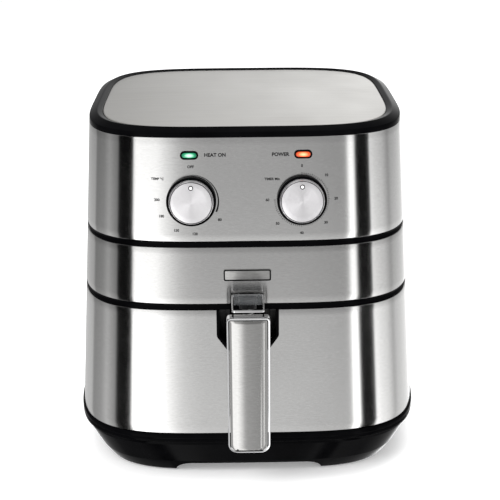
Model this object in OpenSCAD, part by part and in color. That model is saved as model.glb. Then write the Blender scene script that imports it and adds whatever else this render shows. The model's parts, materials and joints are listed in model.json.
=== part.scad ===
// Countertop air fryer: a stacked, slightly tapering housing with a drawer, a pan, a lift-out basket
// with its handle, two dials, a ring heater and a fan. All sizes are in millimetres.
// The body is modelled about its own plan centre, then moved so that the box of the whole object
// is centred on the origin, with the feet at z = 0 and the front facing -Y.

/* [Body] */
// Body width at the lower edge of the drawer
body_width = 312; // [290:1:340]
// Body width where the top rim sits
top_width = 278; // [262:1:290]
// Body depth as a share of its width
depth_ratio = 0.97; // [0.92:0.01:1.05]
// Squareness of the plan, where 2 is an ellipse and 6 is nearly a square
squareness = 4.1; // [3.6:0.1:5]
// Height of the black base, from the table to the drawer
base_height = 47; // [40:1:56]
// Height of the drawer band
drawer_height = 115.5; // [105:0.5:140]
// Height of the two dark grooves between the steel bands
groove_height = 5.5; // [4:0.5:8]
// Height of the middle steel band
middle_height = 50; // [46:1:60]
// Height of the control panel band
panel_height = 89; // [84:1:108]

/* [Walls] */
// Thickness of the steel bands
skin = 0.8; // [0.6:0.1:1.2]
// Thickness of the plastic carcass behind the bands
carcass = 2.5; // [2:0.1:3.5]
// Gap around the drawer front
drawer_gap = 0.4; // [0.3:0.1:1]
// Distance from the plan centre forward to the drawer's side seam
seam_forward = 62; // [50:1:75]

/* [Top] */
// Height of the rim's upright edge
rim_height = 4.5; // [3:0.5:7]
// Rise of the rim's bevel
bevel_rise = 3.5; // [2:0.5:5]
// Width of the rim's bevel
bevel_width = 7; // [5:0.5:9]
// Width of the ledge between the bevel and the top plate
ledge_width = 4.4; // [2:0.2:6]
// Drop of the ledge
ledge_drop = 1.5; // [1:0.5:2]
// Rise of the top plate's crown
crown = 2.5; // [1:0.5:4]

/* [Dials] */
// Distance of each dial from the centre line
dial_x = 46.5; // [42:0.5:52]
// Height of the dials above the panel band's lower edge
dial_rise = 35.5; // [33:0.5:45]
// Knob diameter at its foot
knob_diameter = 42; // [38:1:44]
// How far the knobs stand out
knob_reach = 9; // [8:0.5:14]
// Spindle diameter
spindle_diameter = 6; // [5:0.5:7]
// Height of the lamps above the panel band's lower edge
lamp_rise = 74.3; // [68:0.5:80]
// Length of each lamp window
lamp_length = 14; // [10:0.5:16]
// Height of each lamp window
lamp_height = 6; // [4:0.5:8]

/* [Drawer] */
// Half width of the pan at its rim
pan_half_width = 131; // [120:1:133]
// Depth of the pan as a share of its width
pan_ratio = 0.91; // [0.86:0.01:0.92]
// How far the pan's centre sits forward of the body's centre
pan_forward = 8; // [4:1:12]
// Wall thickness of the pan
pan_wall = 1.2; // [1:0.1:2]
// Gap between the pan and the basket
basket_gap = 4.5; // [3:0.5:7]
// Wall thickness of the basket
basket_wall = 1.1; // [1:0.1:2]
// Diameter of the holes in the basket's floor
hole_diameter = 7; // [4:0.5:9]
// Spacing of the holes in the basket's floor
hole_pitch = 15; // [12:0.5:20]

/* [Handle] */
// Width of the grip
grip_width = 36; // [30:1:42]
// Thickness of the grip, front to back
grip_depth = 19; // [15:1:24]
// Clear space for fingers between the grip and the drawer
finger_gap = 22; // [18:1:30]
// Height of the grip's lower end above the drawer's lower edge
grip_bottom = 2.5; // [0:0.5:20]
// Height of the handle's neck above the drawer band
neck_rise = 14; // [12:1:20]
// Width of the handle's neck
neck_width = 31; // [28:1:36]
// Travel of the release button
button_travel = 3; // [2:0.5:3.5]
// Width of the button's sliding guard
guard_width = 24; // [20:1:25]
// Length of the guard, front to back
guard_length = 20; // [18:1:22]
// Travel of the guard
guard_travel = 14; // [13:1:15]

/* [Hot air unit] */
// Outer radius of the heater's dome
dome_radius = 100; // [90:1:108]
// Height of the heater's dome
dome_height = 42; // [38:1:46]
// Radius of the convection fan
fan_radius = 62; // [50:1:70]
// Radius of the motor
motor_radius = 36; // [30:1:42]
// Diameter of the motor's shaft
shaft_diameter = 6; // [5:0.5:8]

/* [Hidden] */

seg = 72;               // sides of every body ring
pan_seg = 60;           // sides of every pan ring
$fn = 64;
eps = 0.01;
over = 1;               // how far a cutter runs past what it cuts
fit = 0.3;              // clearance between pieces that slide on each other
running = 0.05;         // radial clearance of a spindle in its bore
far = 400;

// Levels
z_drawer = base_height;
z_low_groove = z_drawer + drawer_height;
z_middle = z_low_groove + groove_height;
z_high_groove = z_middle + middle_height;
z_panel = z_high_groove + groove_height;
z_rim = z_panel + panel_height;
z_knee = z_rim + rim_height + bevel_rise;
z_plate = z_knee - ledge_drop;
z_dial = z_panel + dial_rise;
z_lamp = z_panel + lamp_rise;
lamp_x = dial_x + 1;

// Plan
draft = (body_width - top_width) / 2 / (z_rim - z_drawer);
lean = atan(draft * depth_ratio);
inner = skin + carcass;
ring_inner = inner + 1.5;
function half_width(z) = body_width / 2 - draft * (z - z_drawer);
function front(z) = half_width(z) * depth_ratio;
function bent(v, power) = sign(v) * pow(abs(v), 2 / power);
function plan(half, ratio = depth_ratio, power = squareness, n = seg, y = 0) =
    [for (i = [0 : n - 1]) let (t = 360 * (i + 0.5) / n)
        [half * bent(cos(t), power), half * ratio * bent(sin(t), power) + y]];
function at(inset, z) = [half_width(z) - inset, z];

// Pan and basket
pan_power = 5;
pan_y = -pan_forward;
z_pan_floor = z_drawer + 14;
z_pan_rim = z_low_groove - 4;
pan_draft = 8;
flange = 6;
flange_thickness = 2;
basket_half = pan_half_width - pan_wall - basket_gap;
z_basket_floor = z_pan_floor + 10;
basket_draft = 5;
pan_front = pan_half_width * pan_ratio - pan_y;
basket_front = basket_half * pan_ratio - pan_y;

// Cavity
liner_wall = 1.2;
z_liner = z_pan_floor - 5;
z_deck = z_low_groove + 4;
liner_half = min(pan_half_width + 10, half_width(z_deck) - ring_inner - liner_wall - 1);
deck_thickness = 2;
liner_rear = liner_half * pan_ratio + pan_y;
rail_gap = 0.4;

// Hot air unit
z_dome = z_deck + deck_thickness;
dome_wall = 1.2;
z_dome_top = z_dome + dome_height;
z_element = z_dome + 13;
element_radius = 3.2;
pin_radius = 2;
z_fan = z_dome + 27;
sensor_radius = 2.6;
y_sensor = -dome_radius + 22;
z_shield = z_dome_top + 8;
z_motor = z_shield + 7;
motor_height = 32;
z_cooling_fan = z_motor + motor_height + 5;
shaft_radius = shaft_diameter / 2;
z_shaft_top = z_cooling_fan + 16;

// The coil runs outward by one pitch a turn, and its two pins rise where it starts and ends
turns = 2;
spiral_start = fan_radius + 4.5;
spiral_pitch = 8.5;
spiral_turn = 63;
pin_angles = [2, turns * 360 - 2];
function spiral(t) = let (r = spiral_start + spiral_pitch * t / 360)
    [r * cos(t + spiral_turn), r * sin(t + spiral_turn), z_element];

// Handle
pocket_half = 27;
pocket_foot_half = 18;
z_pocket = z_low_groove - 37;
z_pocket_shoulder = z_low_groove - 24.5;
y_grip_back = -(front(z_drawer) + finger_gap);
y_grip_front = y_grip_back - grip_depth + 1.5;
z_grip = z_drawer + grip_bottom;
z_neck = z_low_groove + neck_rise;
y_neck_back = -(front(z_middle) + 2.5);
y_bracket_back = -basket_front;
z_bracket = z_low_groove - 32;
z_bracket_top = z_low_groove - 6;
z_screw = z_bracket + 17;
basket_slope = 1.1 + basket_draft * pan_ratio * (z_pan_rim - z_screw) / (z_pan_rim - z_basket_floor - 6);
face_lift = 1.6;
trim_width = 2;
trim_depth = 9;
y_trim_back = y_grip_front + trim_depth;
y_handle_front = y_grip_front - face_lift;
slot_half = 4;
y_pivot = y_bracket_back - 13;
z_pivot = z_low_groove - 12;
pivot_radius = 1.5;
lever_half = 3;
arm_half = 2;
grip_drop = 3;
neck_span = [-neck_width / 2, neck_width / 2];
z_neck_under = z_neck - 22;
bezel_wall = 1.4;
bezel_height = 1.8;
bezel_length = guard_length + guard_travel + 2 * fit + 2 * bezel_wall;
y_bezel_back = y_neck_back - 1.5;
y_guard_back = y_bezel_back - bezel_wall - fit;
guard_height = 2.6;
guard_skin = 1;
button_size = [15, 11];
y_button = y_guard_back - 1.5 - button_size[1] / 2;
z_button = z_neck + 0.4;
button_depth = 7;
z_well = z_button - button_depth - button_travel - 4;
stem_radius = 2.2;
stem_gap = 0.6;
coil_radius = 4.9;
coil_wire = 0.4;

// Dials
knob_radius = knob_diameter / 2;
knob_face_radius = knob_radius - 3.6;
knob_lift = 1;
knob_wall = 2;
knob_inside = knob_reach - 1 - knob_wall;
spindle_radius = spindle_diameter / 2;
dial_hole_radius = spindle_radius + 2;
control_back = inner + 3;       // the curved panel's back stays this far clear of the flat control bodies

// Rear
cover_half = 66;
cover_proud = 9;
cover_wall = 2.5;
z_cover = z_drawer + 44;
z_cover_top = z_rim - 14;
window_half = 40;
gland_radius = 9;
gland_bore = 4.2;
gland_flange = 2;
z_gland = z_cover + 20;
y_gland = front(z_gland) + cover_proud * depth_ratio;
gland_reach = 9;
window_low = [z_middle + 9, z_middle + 41];
window_high = [z_panel + 24, z_panel + 64];

// The box of the whole object runs from the handle's front to the gland's end
reach_front = -y_handle_front;
reach_rear = y_gland + gland_reach;
shift_y = (reach_front - reach_rear) / 2;

module seat() translate([0, shift_y, 0]) children();

// A solid of stacked plan rings: levels is a list of [half width, z] from the bottom up
module stack(levels, ratio = depth_ratio, power = squareness, n = seg, y = 0) {
    points = [for (l = levels) each [for (p = plan(l[0], ratio, power, n, y)) [p[0], p[1], l[1]]]];
    top = (len(levels) - 1) * n;
    sides = [for (j = [0 : len(levels) - 2], i = [0 : n - 1])
        let (a = j * n + i, b = j * n + (i + 1) % n)
            each [[a, a + n, b + n], [a, b + n, b]]];
    polyhedron(points, concat(
        [[for (i = [0 : n - 1]) i]],
        [[for (i = [n - 1 : -1 : 0]) top + i]],
        sides));
}

// A hoop that follows the plan: section is a closed loop of [half width, z], up outside and down inside
module hoop(section, ratio = depth_ratio, power = squareness, n = seg, y = 0) {
    m = len(section);
    points = [for (l = section) each [for (p = plan(l[0], ratio, power, n, y)) [p[0], p[1], l[1]]]];
    faces = [for (j = [0 : m - 1], i = [0 : n - 1])
        let (k = (j + 1) % m, a = j * n + i, b = j * n + (i + 1) % n, c = k * n + (i + 1) % n, d = k * n + i)
            each [[a, d, c], [a, c, b]]];
    polyhedron(points, faces);
}

// A wall that follows the body between two levels and two insets
module wall(z0, z1, out, in) hoop([at(out, z0), at(out, z1), at(in, z1), at(in, z0)]);

module block(x, y, z) translate([x[0], y[0], z[0]]) cube([x[1] - x[0], y[1] - y[0], z[1] - z[0]]);

// Everything behind, or in front of, a plane across the body
module behind(y) block([-far, far], [y, far], [-far, far]);
module ahead(y) block([-far, far], [-far, y], [-far, far]);

// Places children on the control panel, with +Z outward along the panel's normal and +Y up
module on_panel(x, z) translate([x, -front(z), z]) rotate([90 - lean, 0, 0]) children();

module pill(length, height, depth) linear_extrude(depth) {
    square([length - height, height], center = true);
    for (s = [-1, 1]) translate([s * (length - height) / 2, 0]) circle(d = height);
}

module rounded_box(size, radius) linear_extrude(size[2]) {
    square([size[0] - 2 * radius, size[1]], center = true);
    square([size[0], size[1] - 2 * radius], center = true);
    for (x = [-1, 1], y = [-1, 1])
        translate([x * (size[0] / 2 - radius), y * (size[1] / 2 - radius)]) circle(radius);
}

module tube(outside, inside, height) difference() {
    cylinder(r = outside, h = height);
    translate([0, 0, -over]) cylinder(r = inside, h = height + 2 * over);
}

// A countersunk or pan-head screw: shank up from z = 0, head below
module screw(shank_radius, shank_length, head_radius, head_height) {
    cylinder(r = shank_radius, h = shank_length);
    difference() {
        translate([0, 0, -head_height]) cylinder(r = head_radius, h = head_height);
        for (a = [0, 90]) rotate(a)
            block([-head_radius * 0.6, head_radius * 0.6], [-0.4, 0.4],
                  [-head_height - eps, -head_height * 0.4]);
    }
}

// A round wire along a list of points, with its ends closed
module wire(path, radius, sides = 8) {
    n = len(path);
    function heading(i) = let (d = path[min(i + 1, n - 1)] - path[max(i - 1, 0)]) d / norm(d);
    function side(i) = let (s = cross(heading(i), [0, 0, 1])) s / norm(s);
    points = [for (i = [0 : n - 1], k = [0 : sides - 1])
        let (a = 360 * k / sides, s = side(i), u = cross(s, heading(i)))
            path[i] + radius * (cos(a) * s + sin(a) * u)];
    faces = [for (i = [0 : n - 2], k = [0 : sides - 1])
        let (a = i * sides + k, b = i * sides + (k + 1) % sides)
            each [[a, b, b + sides], [a, b + sides, a + sides]]];
    polyhedron(points, concat(
        [[for (k = [sides - 1 : -1 : 0]) k]],
        [[for (k = [0 : sides - 1]) (n - 1) * sides + k]],
        faces));
}

// ---- Base ----

foot_lift = 1.2;
skirt_foot = 19.5;
skirt_wall = 3;
bead_height = 8;
z_skirt = base_height - bead_height;
pad_radius = 10;
pad_height = 4;
arch_half = 66;
arch_side_half = 62;
arch_height = 9;
arch_run = 15;
z_tray_floor = 12;
tray_floor = 3;
foot_x = 96;
foot_y = 92;

function corners() = [for (x = [-1, 1], y = [-1, 1]) [x, y]];

// The opening between two feet, with elliptic shoulders
module arch(half) rotate([90, 0, 0]) translate([0, 0, -far / 2]) linear_extrude(far) polygon(concat(
    [[half, -over], [half, foot_lift]],
    [for (t = [15 : 15 : 90]) [half - arch_run * (1 - cos(t)), foot_lift + arch_height * sin(t)]],
    [for (t = [90 : -15 : 15]) [-half + arch_run * (1 - cos(t)), foot_lift + arch_height * sin(t)]],
    [[-half, foot_lift], [-half, -over]]));

module base_tray() color("#17181a") {
    half = body_width / 2;
    difference() {
        union() {
            hoop([
                [half - skirt_foot, foot_lift], [half - 1, z_skirt - 2.5], [half - 0.6, z_skirt],
                [half + 1, z_skirt + 0.8], [half + 1.4, z_skirt + 3], [half + 1.4, base_height - 1.6],
                [half + 0.4, base_height], [half - skirt_wall, base_height],
                [half - skirt_wall - 1, z_skirt - 2.5], [half - skirt_foot - skirt_wall, foot_lift]
            ]);
            translate([0, 0, z_tray_floor]) linear_extrude(tray_floor) difference() {
                polygon(plan(half - skirt_foot + 4.7));
                for (x = [-60 : 12 : 60]) translate([x, 0]) square([5, 90], center = true);
            }
            for (c = corners()) translate([c[0] * foot_x, c[1] * foot_y, foot_lift + 1.5])
                cylinder(r = pad_radius + 3, h = z_tray_floor - foot_lift);
        }
        arch(arch_half);
        rotate(90) arch(arch_side_half);
        for (c = corners()) translate([c[0] * foot_x, c[1] * foot_y, 0]) {
            cylinder(r = pad_radius, h = pad_height);
            cylinder(r = 1.8, h = z_tray_floor + tray_floor + over);
        }
    }
}

module foot_pads() color("#2a2a2c")
    for (c = corners()) translate([c[0] * foot_x, c[1] * foot_y, 0]) difference() {
        cylinder(r = pad_radius, h = pad_height);
        translate([0, 0, -over]) cylinder(r = 4, h = pad_height + 2 * over);
    }

// ---- Lower housing ----

module lower_housing() color("#1b1c1e") difference() {
    union() {
        intersection() {
            wall(z_drawer, z_low_groove, skin, inner);
            behind(-seam_forward + drawer_gap);
        }
        intersection() {
            stack([at(skin + 0.2, z_drawer), at(skin + 0.2, z_low_groove)]);
            block([-far, far], [-seam_forward + drawer_gap, -seam_forward + drawer_gap + 3], [0, far]);
        }
    }
    block([-liner_half, liner_half], [-seam_forward - 5, -seam_forward + 10], [z_liner, far]);
    gland_hole(gland_radius - 3);
}

module lower_wrap() color("#b9b9b6") difference() {
    intersection() {
        wall(z_drawer, z_low_groove, 0, skin);
        behind(-seam_forward + drawer_gap);
    }
    gland_hole(gland_radius - 3);
}

// ---- Grooves, middle band and panel ----

groove_inset = 1;

module groove_ring(z) wall(z, z + groove_height, groove_inset, ring_inner);

module low_groove_ring() color("#0e0f10") groove_ring(z_low_groove);
module high_groove_ring() color("#0e0f10") groove_ring(z_high_groove);

module rear_window(window) block([-window_half, window_half], [0, far], window);

module middle_housing() color("#1b1c1e") difference() {
    wall(z_middle, z_high_groove, skin, inner);
    rear_window(window_low);
}

module middle_band() color("#bcbcba") difference() {
    wall(z_middle, z_high_groove, 0, skin);
    rear_window(window_low);
}

module panel_holes(radius, grow) {
    for (s = [-1, 1]) {
        on_panel(s * dial_x, z_dial) translate([0, 0, -20]) cylinder(r = radius, h = 40);
        on_panel(s * lamp_x, z_lamp) translate([0, 0, -20])
            pill(lamp_length + grow, lamp_height + grow, 40);
    }
    rear_window(window_high);
}

module panel_housing() color("#1b1c1e") difference() {
    wall(z_panel, z_rim, skin, inner);
    panel_holes(dial_hole_radius + 2, 1);
}

module panel_band() color("#bcbcba") difference() {
    wall(z_panel, z_rim, 0, skin);
    panel_holes(dial_hole_radius, 0);
}

// ---- Top ----

plate_inset = bevel_width + ledge_width + 0.4;
module top_rim() color("#0e0f10") hoop([
    at(0, z_rim), at(0, z_rim + rim_height - 1), at(0.8, z_rim + rim_height),
    at(bevel_width - 0.7, z_knee - 0.2), at(bevel_width, z_knee), at(bevel_width + 0.5, z_knee - 0.3),
    at(plate_inset - 0.9, z_plate), at(plate_inset - 0.4, z_plate - 0.5), at(plate_inset - 0.4, z_plate - 3),
    at(plate_inset + 7, z_plate - 3), at(plate_inset + 7, z_rim)
]);

module top_plate() color("#c4c4c1") {
    edge = half_width(z_plate) - plate_inset;
    stack(concat(
        [[edge - 0.6, z_plate - 2.99], [edge, z_plate - 2.2], [edge, z_plate - 0.8]],
        [for (s = [0, 0.04, 0.12, 0.3, 0.5, 0.75, 0.9])
            [(edge - 0.8) * (1 - s), z_plate + crown * (1 - pow(1 - s, 3)) * 0.98]]));
}

badge_size = [41, 10.5];
module badge() color("#c9c9c7") on_panel(0, z_middle + 25.5) translate([0, 0, 0.05])
    rounded_box([badge_size[0], badge_size[1], 0.7], 1.6);

// ---- Rear ----

gland_seat = gland_radius * tan(lean) + 0.05;
cover_head = 3;
cover_head_lift = cover_head * tan(lean) + 0.12;
module gland_hole(radius) translate([0, 0, z_gland]) rotate([-90, 0, 0]) cylinder(r = radius, h = far);

module rear_cover() color("#151617") difference() {
    intersection() {
        wall(z_cover, z_cover_top, -cover_proud, 0);
        block([-cover_half, cover_half], [0, far], [0, far]);
    }
    intersection() {
        wall(z_cover + cover_wall, z_cover_top - cover_wall, -cover_proud + cover_wall, 0.5);
        block([-cover_half + cover_wall, cover_half - cover_wall], [0, far], [0, far]);
    }
    for (window = [window_low, window_high], z = [window[0] + 3 : 6 : window[1] - 4])
        block([-window_half + 2, window_half - 2], [0, far], [z, z + 3]);
    gland_hole(gland_radius - 2);
    for (s = [-1, 1], z = [z_cover + 8, z_cover_top - 8])
        translate([s * (cover_half - 8), 0, z]) rotate([-90, 0, 0]) cylinder(r = 1.7, h = far);
}

function rear(x, z) = front(z) * pow(1 - pow(abs(x) / half_width(z), squareness), 1 / squareness);

module case_screws() color("silver") {
    for (c = corners()) translate([c[0] * foot_x, c[1] * foot_y, pad_height])
        screw(1.7, z_tray_floor + tray_floor - pad_height + 4, 3.4, 2);
    for (s = [-1, 1], z = [z_cover + 8, z_cover_top - 8])
        translate([s * (cover_half - 8), rear(cover_half - 8, z) + cover_proud + cover_head_lift, z])
            rotate([90, 0, 0]) screw(1.6, cover_proud - 0.5, cover_head, 1.4);
}

module cord_gland() color("#101112") translate([0, y_gland, z_gland]) rotate([-90, 0, 0]) difference() {
    union() {
        translate([0, 0, gland_seat])
            cylinder(r1 = gland_radius, r2 = gland_radius - 2.5, h = gland_reach - gland_seat);
        translate([0, 0, -cover_wall - gland_seat - gland_flange])
            cylinder(r = gland_radius - 2.4, h = cover_wall + 3 * gland_seat + gland_flange);
        translate([0, 0, -cover_wall - gland_seat - gland_flange])
            cylinder(r = gland_radius, h = gland_flange);
    }
    translate([0, 0, -far / 2]) cylinder(r = gland_bore, h = far);
}

// ---- Cavity ----

module cavity_liner() color("#8d9092") union() {
    intersection() {
        hoop([[liner_half + liner_wall, z_liner], [liner_half + liner_wall, z_deck], [liner_half, z_deck],
              [liner_half, z_liner]], pan_ratio, pan_power, pan_seg, pan_y);
        behind(-seam_forward + 3.5);
    }
    intersection() {
        stack([[liner_half + 0.2, z_liner], [liner_half + 0.2, z_liner + liner_wall]],
              pan_ratio, pan_power, pan_seg, pan_y);
        behind(-seam_forward + 3.5);
    }
}

module slide_rails() color("#8d9092") for (s = [-1, 1])
    block([s * 80 - 5, s * 80 + 5], [-seam_forward + 8, liner_rear - 25],
          [z_liner + liner_wall, z_pan_floor - rail_gap]);

module chassis_deck() color("#9a9c9e") translate([0, 0, z_deck]) linear_extrude(deck_thickness) difference() {
    polygon(plan(half_width(z_middle) - ring_inner - 0.2));
    circle(dome_radius - 6);
}

// ---- Hot air unit ----

module heater_dome() color("#a9abad") difference() {
    translate([0, 0, z_dome]) rotate_extrude() polygon([
        [dome_radius + 8, 0], [dome_radius + 8, dome_wall], [dome_radius, dome_wall],
        [dome_radius, dome_height - 14], [dome_radius - 14, dome_height], [shaft_radius + 5, dome_height],
        [shaft_radius + 5, dome_height - dome_wall], [dome_radius - 14.6, dome_height - dome_wall],
        [dome_radius - dome_wall, dome_height - 14.6], [dome_radius - dome_wall, 0]
    ]);
    block([-window_half + 5, window_half - 5], [0, far], [window_low[0] + 4, z_dome + dome_height - 16]);
    for (t = pin_angles) translate(spiral(t)) cylinder(r = pin_radius + 1, h = far);
    translate([0, y_sensor, z_dome + dome_height / 2]) cylinder(r = sensor_radius + 0.5, h = far);
}

module heating_element() color("#5b5450") {
    wire([for (t = [0 : 10 : turns * 360]) spiral(t)], element_radius);
    for (t = pin_angles) translate(spiral(t)) cylinder(r = pin_radius, h = z_dome_top + 5 - z_element);
}

// Each clip is a strap across the coil, with a window for every turn it holds
module element_clips() color("#a9abad") for (a = [60, 180, 300]) rotate(spiral_turn + a) {
    inside = spiral_start + spiral_pitch * a / 360;
    reach = element_radius + fit;
    difference() {
        block([inside - 6, inside + spiral_pitch + 6], [-3, 3], [z_element - 6, z_element + 6]);
        for (k = [0 : turns - 1])
            block([inside + k * spiral_pitch - reach, inside + k * spiral_pitch + reach], [-far, far],
                  [z_element - reach, z_element + reach]);
    }
}

bar_reach = dome_radius - dome_wall - 0.05;
module splash_guard() color("#b5b7b9") translate([0, 0, z_dome + 3]) {
    for (r = [18 : 13 : dome_radius - 12]) rotate_extrude() translate([r, 0]) circle(1, $fn = 16);
    for (a = [0 : 60 : 120]) rotate(a) block([-bar_reach, bar_reach], [-1, 1], [0.6, 2]);
}

module exhaust_duct() color("#8d9092") {
    y_end = front(z_high_groove) - inner - 0.5;
    difference() {
        block([-window_half, window_half], [dome_radius - 10, y_end], window_low);
        block([-window_half + 1.5, window_half - 1.5], [0, far], [window_low[0] + 1.5, window_low[1] - 1.5]);
        cylinder(r = dome_radius + 0.2, h = far);
    }
}

module heat_shield() color("#a9abad") translate([0, 0, z_shield]) difference() {
    cylinder(r = dome_radius - 8, h = 1.2);
    translate([0, 0, -over]) cylinder(r = shaft_radius + 6, h = 4);
    translate([0, y_sensor, -over]) cylinder(r = sensor_radius + 0.5, h = 4);
    for (a = [45 : 90 : 315]) rotate(a) translate([60, 0, -over]) cylinder(r = 2, h = 4);
}

module shield_spacers() color("silver") for (a = [45 : 90 : 315])
    rotate(a) translate([60, 0, z_dome_top]) {
        cylinder(r = 4, h = z_shield - z_dome_top);
        translate([0, 0, z_shield - z_dome_top]) cylinder(r = 1.9, h = z_motor - z_shield + 5);
    }

module motor_bracket() color("#c0a868") translate([0, 0, z_motor]) difference() {
    union() {
        for (a = [45, 135]) rotate(a) translate([-68, -9, 0]) cube([136, 18, 2]);
        cylinder(r = motor_radius + 4, h = 2);
    }
    translate([0, 0, -over]) cylinder(r = 12, h = 4);
    for (a = [45 : 90 : 315]) rotate(a) translate([60, 0, -over]) cylinder(r = 2, h = 4);
}

z_can = z_motor + 2;
can_wall = 1.5;
bearing_height = 5;

module motor_can() color("#b0a58f") translate([0, 0, z_can]) difference() {
    union() {
        cylinder(r = motor_radius, h = motor_height - 2);
        for (a = [0 : 45 : 315]) rotate(a)
            block([motor_radius - 0.5, motor_radius + 2], [-4, 4], [6, motor_height - 8]);
    }
    translate([0, 0, can_wall]) cylinder(r = motor_radius - can_wall, h = motor_height - 2 - 2 * can_wall);
    translate([0, 0, -over]) cylinder(r = 9, h = motor_height + 2 * over);
}

module motor_bearings() color("#8a7a5a") for (z = [z_can - 1.5, z_can + motor_height - 2 - 4])
    translate([0, 0, z]) tube(9, shaft_radius + running, bearing_height);

module motor_shaft() color("silver") {
    translate([0, 0, z_fan - 8]) cylinder(r = shaft_radius, h = z_shaft_top - z_fan + 8);
    translate([0, 0, z_can + 5]) tube(motor_radius - 8, shaft_radius - 0.5, motor_height - 16);
}

module convection_fan() color("#b9bbbd") translate([0, 0, z_fan]) difference() {
    union() {
        cylinder(r = 11, h = 10);
        translate([0, 0, 8]) cylinder(r = fan_radius, h = 1.2);
        for (a = [0 : 36 : 324]) rotate(a)
            translate([16, 0, -2]) rotate(-18) cube([fan_radius - 18, 1.2, 11]);
    }
    translate([0, 0, -over]) cylinder(r = shaft_radius, h = 12);
}

module fan_nut() color("silver") translate([0, 0, z_fan - 5]) difference() {
    cylinder(r = 6, h = 5, $fn = 6);
    translate([0, 0, -over]) cylinder(r = shaft_radius, h = 7);
}

module cooling_fan() color("#3a3d40") translate([0, 0, z_cooling_fan]) difference() {
    union() {
        cylinder(r = 13, h = 12);
        for (a = [0 : 51.43 : 350]) rotate(a) translate([10, -5, 4]) rotate([28, 0, 0]) cube([34, 14, 1.6]);
    }
    translate([0, 0, -over]) cylinder(r = shaft_radius, h = 14);
}

// ---- Controls ----

// The bush that holds a control's spindle and fills the hole in the panel
module collar() translate([0, 0, -control_back - 1])
    cylinder(r = dial_hole_radius - 0.1, h = control_back + 1.5);

module thermostat() color("#c9c4b4") on_panel(-dial_x, z_dial) difference() {
    union() {
        translate([0, 0, -control_back - 2]) rounded_box([34, 34, 2], 4);
        translate([0, 0, -control_back - 20]) rounded_box([30, 30, 18], 3);
        translate([0, 0, -control_back - 26]) cylinder(r = 17, h = 6);
        collar();
    }
    translate([0, 0, -control_back - 12]) cylinder(r = spindle_radius + running, h = control_back + 20);
}

module sensor_bulb() color("#b87333") {
    translate([0, y_sensor, z_dome_top - 20]) cylinder(r = sensor_radius, h = 32);
    rise = z_dial - z_dome_top - 14;
    wire([for (t = [0 : 0.1 : 1])
        [-dial_x * 0.6 * t, y_sensor - 8 * sin(90 * t), z_dome_top + 12 + rise * t]], 0.9);
}

module timer() color("#d6d3c8") on_panel(dial_x, z_dial) difference() {
    union() {
        translate([0, 0, -control_back - 2]) rounded_box([44, 44, 2], 4);
        translate([0, 0, -control_back - 28]) rounded_box([40, 40, 26], 3);
        collar();
        translate([0, 0, -control_back - 40.8]) cylinder(r = 3, h = 14);
    }
    translate([0, 0, -control_back - 16]) cylinder(r = spindle_radius + running, h = control_back + 24);
}

module timer_bell() color("#c8cacc")
on_panel(dial_x, z_dial) translate([0, 0, -control_back - 42]) difference() {
    union() {
        cylinder(r1 = 12, r2 = 19, h = 4);
        translate([0, 0, 4]) cylinder(r = 19, h = 5);
    }
    translate([0, 0, 1.2]) cylinder(r1 = 11.4, r2 = 17.8, h = 3);
    translate([0, 0, 4.1]) cylinder(r = 17.8, h = 6);
    translate([0, 0, -over]) cylinder(r = 2, h = 4);
}

module spindle(depth) {
    cylinder(r = spindle_radius, h = knob_inside - 0.2);
    translate([0, 0, -control_back - depth]) cylinder(r = spindle_radius, h = control_back + depth);
}

module knob() difference() {
    rotate_extrude($fn = 96) polygon([
        [knob_radius - knob_wall, knob_lift], [knob_radius - 0.5, knob_lift],
        [knob_radius, knob_lift + 0.5], [knob_radius, knob_lift + 1.5],
        [knob_face_radius + 0.8, knob_reach - 0.8], [knob_face_radius, knob_reach],
        [knob_face_radius - 1.2, knob_reach - 0.4], [0, knob_reach - 1], [0, knob_inside],
        [knob_face_radius - knob_wall, knob_inside], [knob_radius - knob_wall, knob_lift + 1.5]
    ]);
    translate([0, knob_face_radius - 4.6, knob_reach - 1.2]) cylinder(r = 1.3, h = 3);
}

module knob_hub() tube(spindle_radius + 2.8, spindle_radius, knob_inside - 1.2 + eps);

module temperature_knob() color("#c9cacb") on_panel(-dial_x, z_dial) knob_with_hub();
module timer_knob() color("#c9cacb") on_panel(dial_x, z_dial) knob_with_hub();
module knob_with_hub() {
    knob();
    translate([0, 0, 1.2]) knob_hub();
}
module temperature_spindle() color("#8f9193") on_panel(-dial_x, z_dial) spindle(10);
module timer_spindle() color("#8f9193") on_panel(dial_x, z_dial) spindle(14);

module lamp_bezels() color("#d5d6d7") for (s = [-1, 1])
    on_panel(s * lamp_x, z_lamp) translate([0, 0, -inner + 0.5]) difference() {
        union() {
            pill(lamp_length - 0.1, lamp_height - 0.1, inner + 0.3);
            translate([0, 0, inner - 0.4]) pill(lamp_length + 1, lamp_height + 1, 0.7);
        }
        translate([0, 0, -over]) pill(lamp_length - 1.4, lamp_height - 1.4, inner + 6);
    }

module lens() {
    translate([0, 0, -inner + 1]) pill(lamp_length - 1.6, lamp_height - 1.6, inner + 0.4);
    translate([0, 0, 1.4]) pill(lamp_length - 3, lamp_height - 3, 0.5);
}

module heat_lamp_lens() color("#1f9a5a") on_panel(-lamp_x, z_lamp) lens();
module power_lamp_lens() color("#f0552a") on_panel(lamp_x, z_lamp) lens();

module neon_lamps() color("#d8d0c0") for (s = [-1, 1])
    on_panel(s * lamp_x, z_lamp) translate([0, 0, -inner - 17]) {
        cylinder(r = 3.2, h = 13);
        translate([0, 0, 13]) rounded_box([18, 9, 1.6], 1);
    }

// ---- Inner electrics ----

module drawer_switch() color("#2a2b2d") {
    y = liner_rear + liner_wall;
    difference() {
        block([90, 110], [y - 24, y - 16], [z_dome + 0.05, z_dome + 12]);
        for (x = [95, 105]) translate([x, 0, z_dome + 6]) rotate([-90, 0, 0]) cylinder(r = 1.5, h = far);
    }
}

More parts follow.
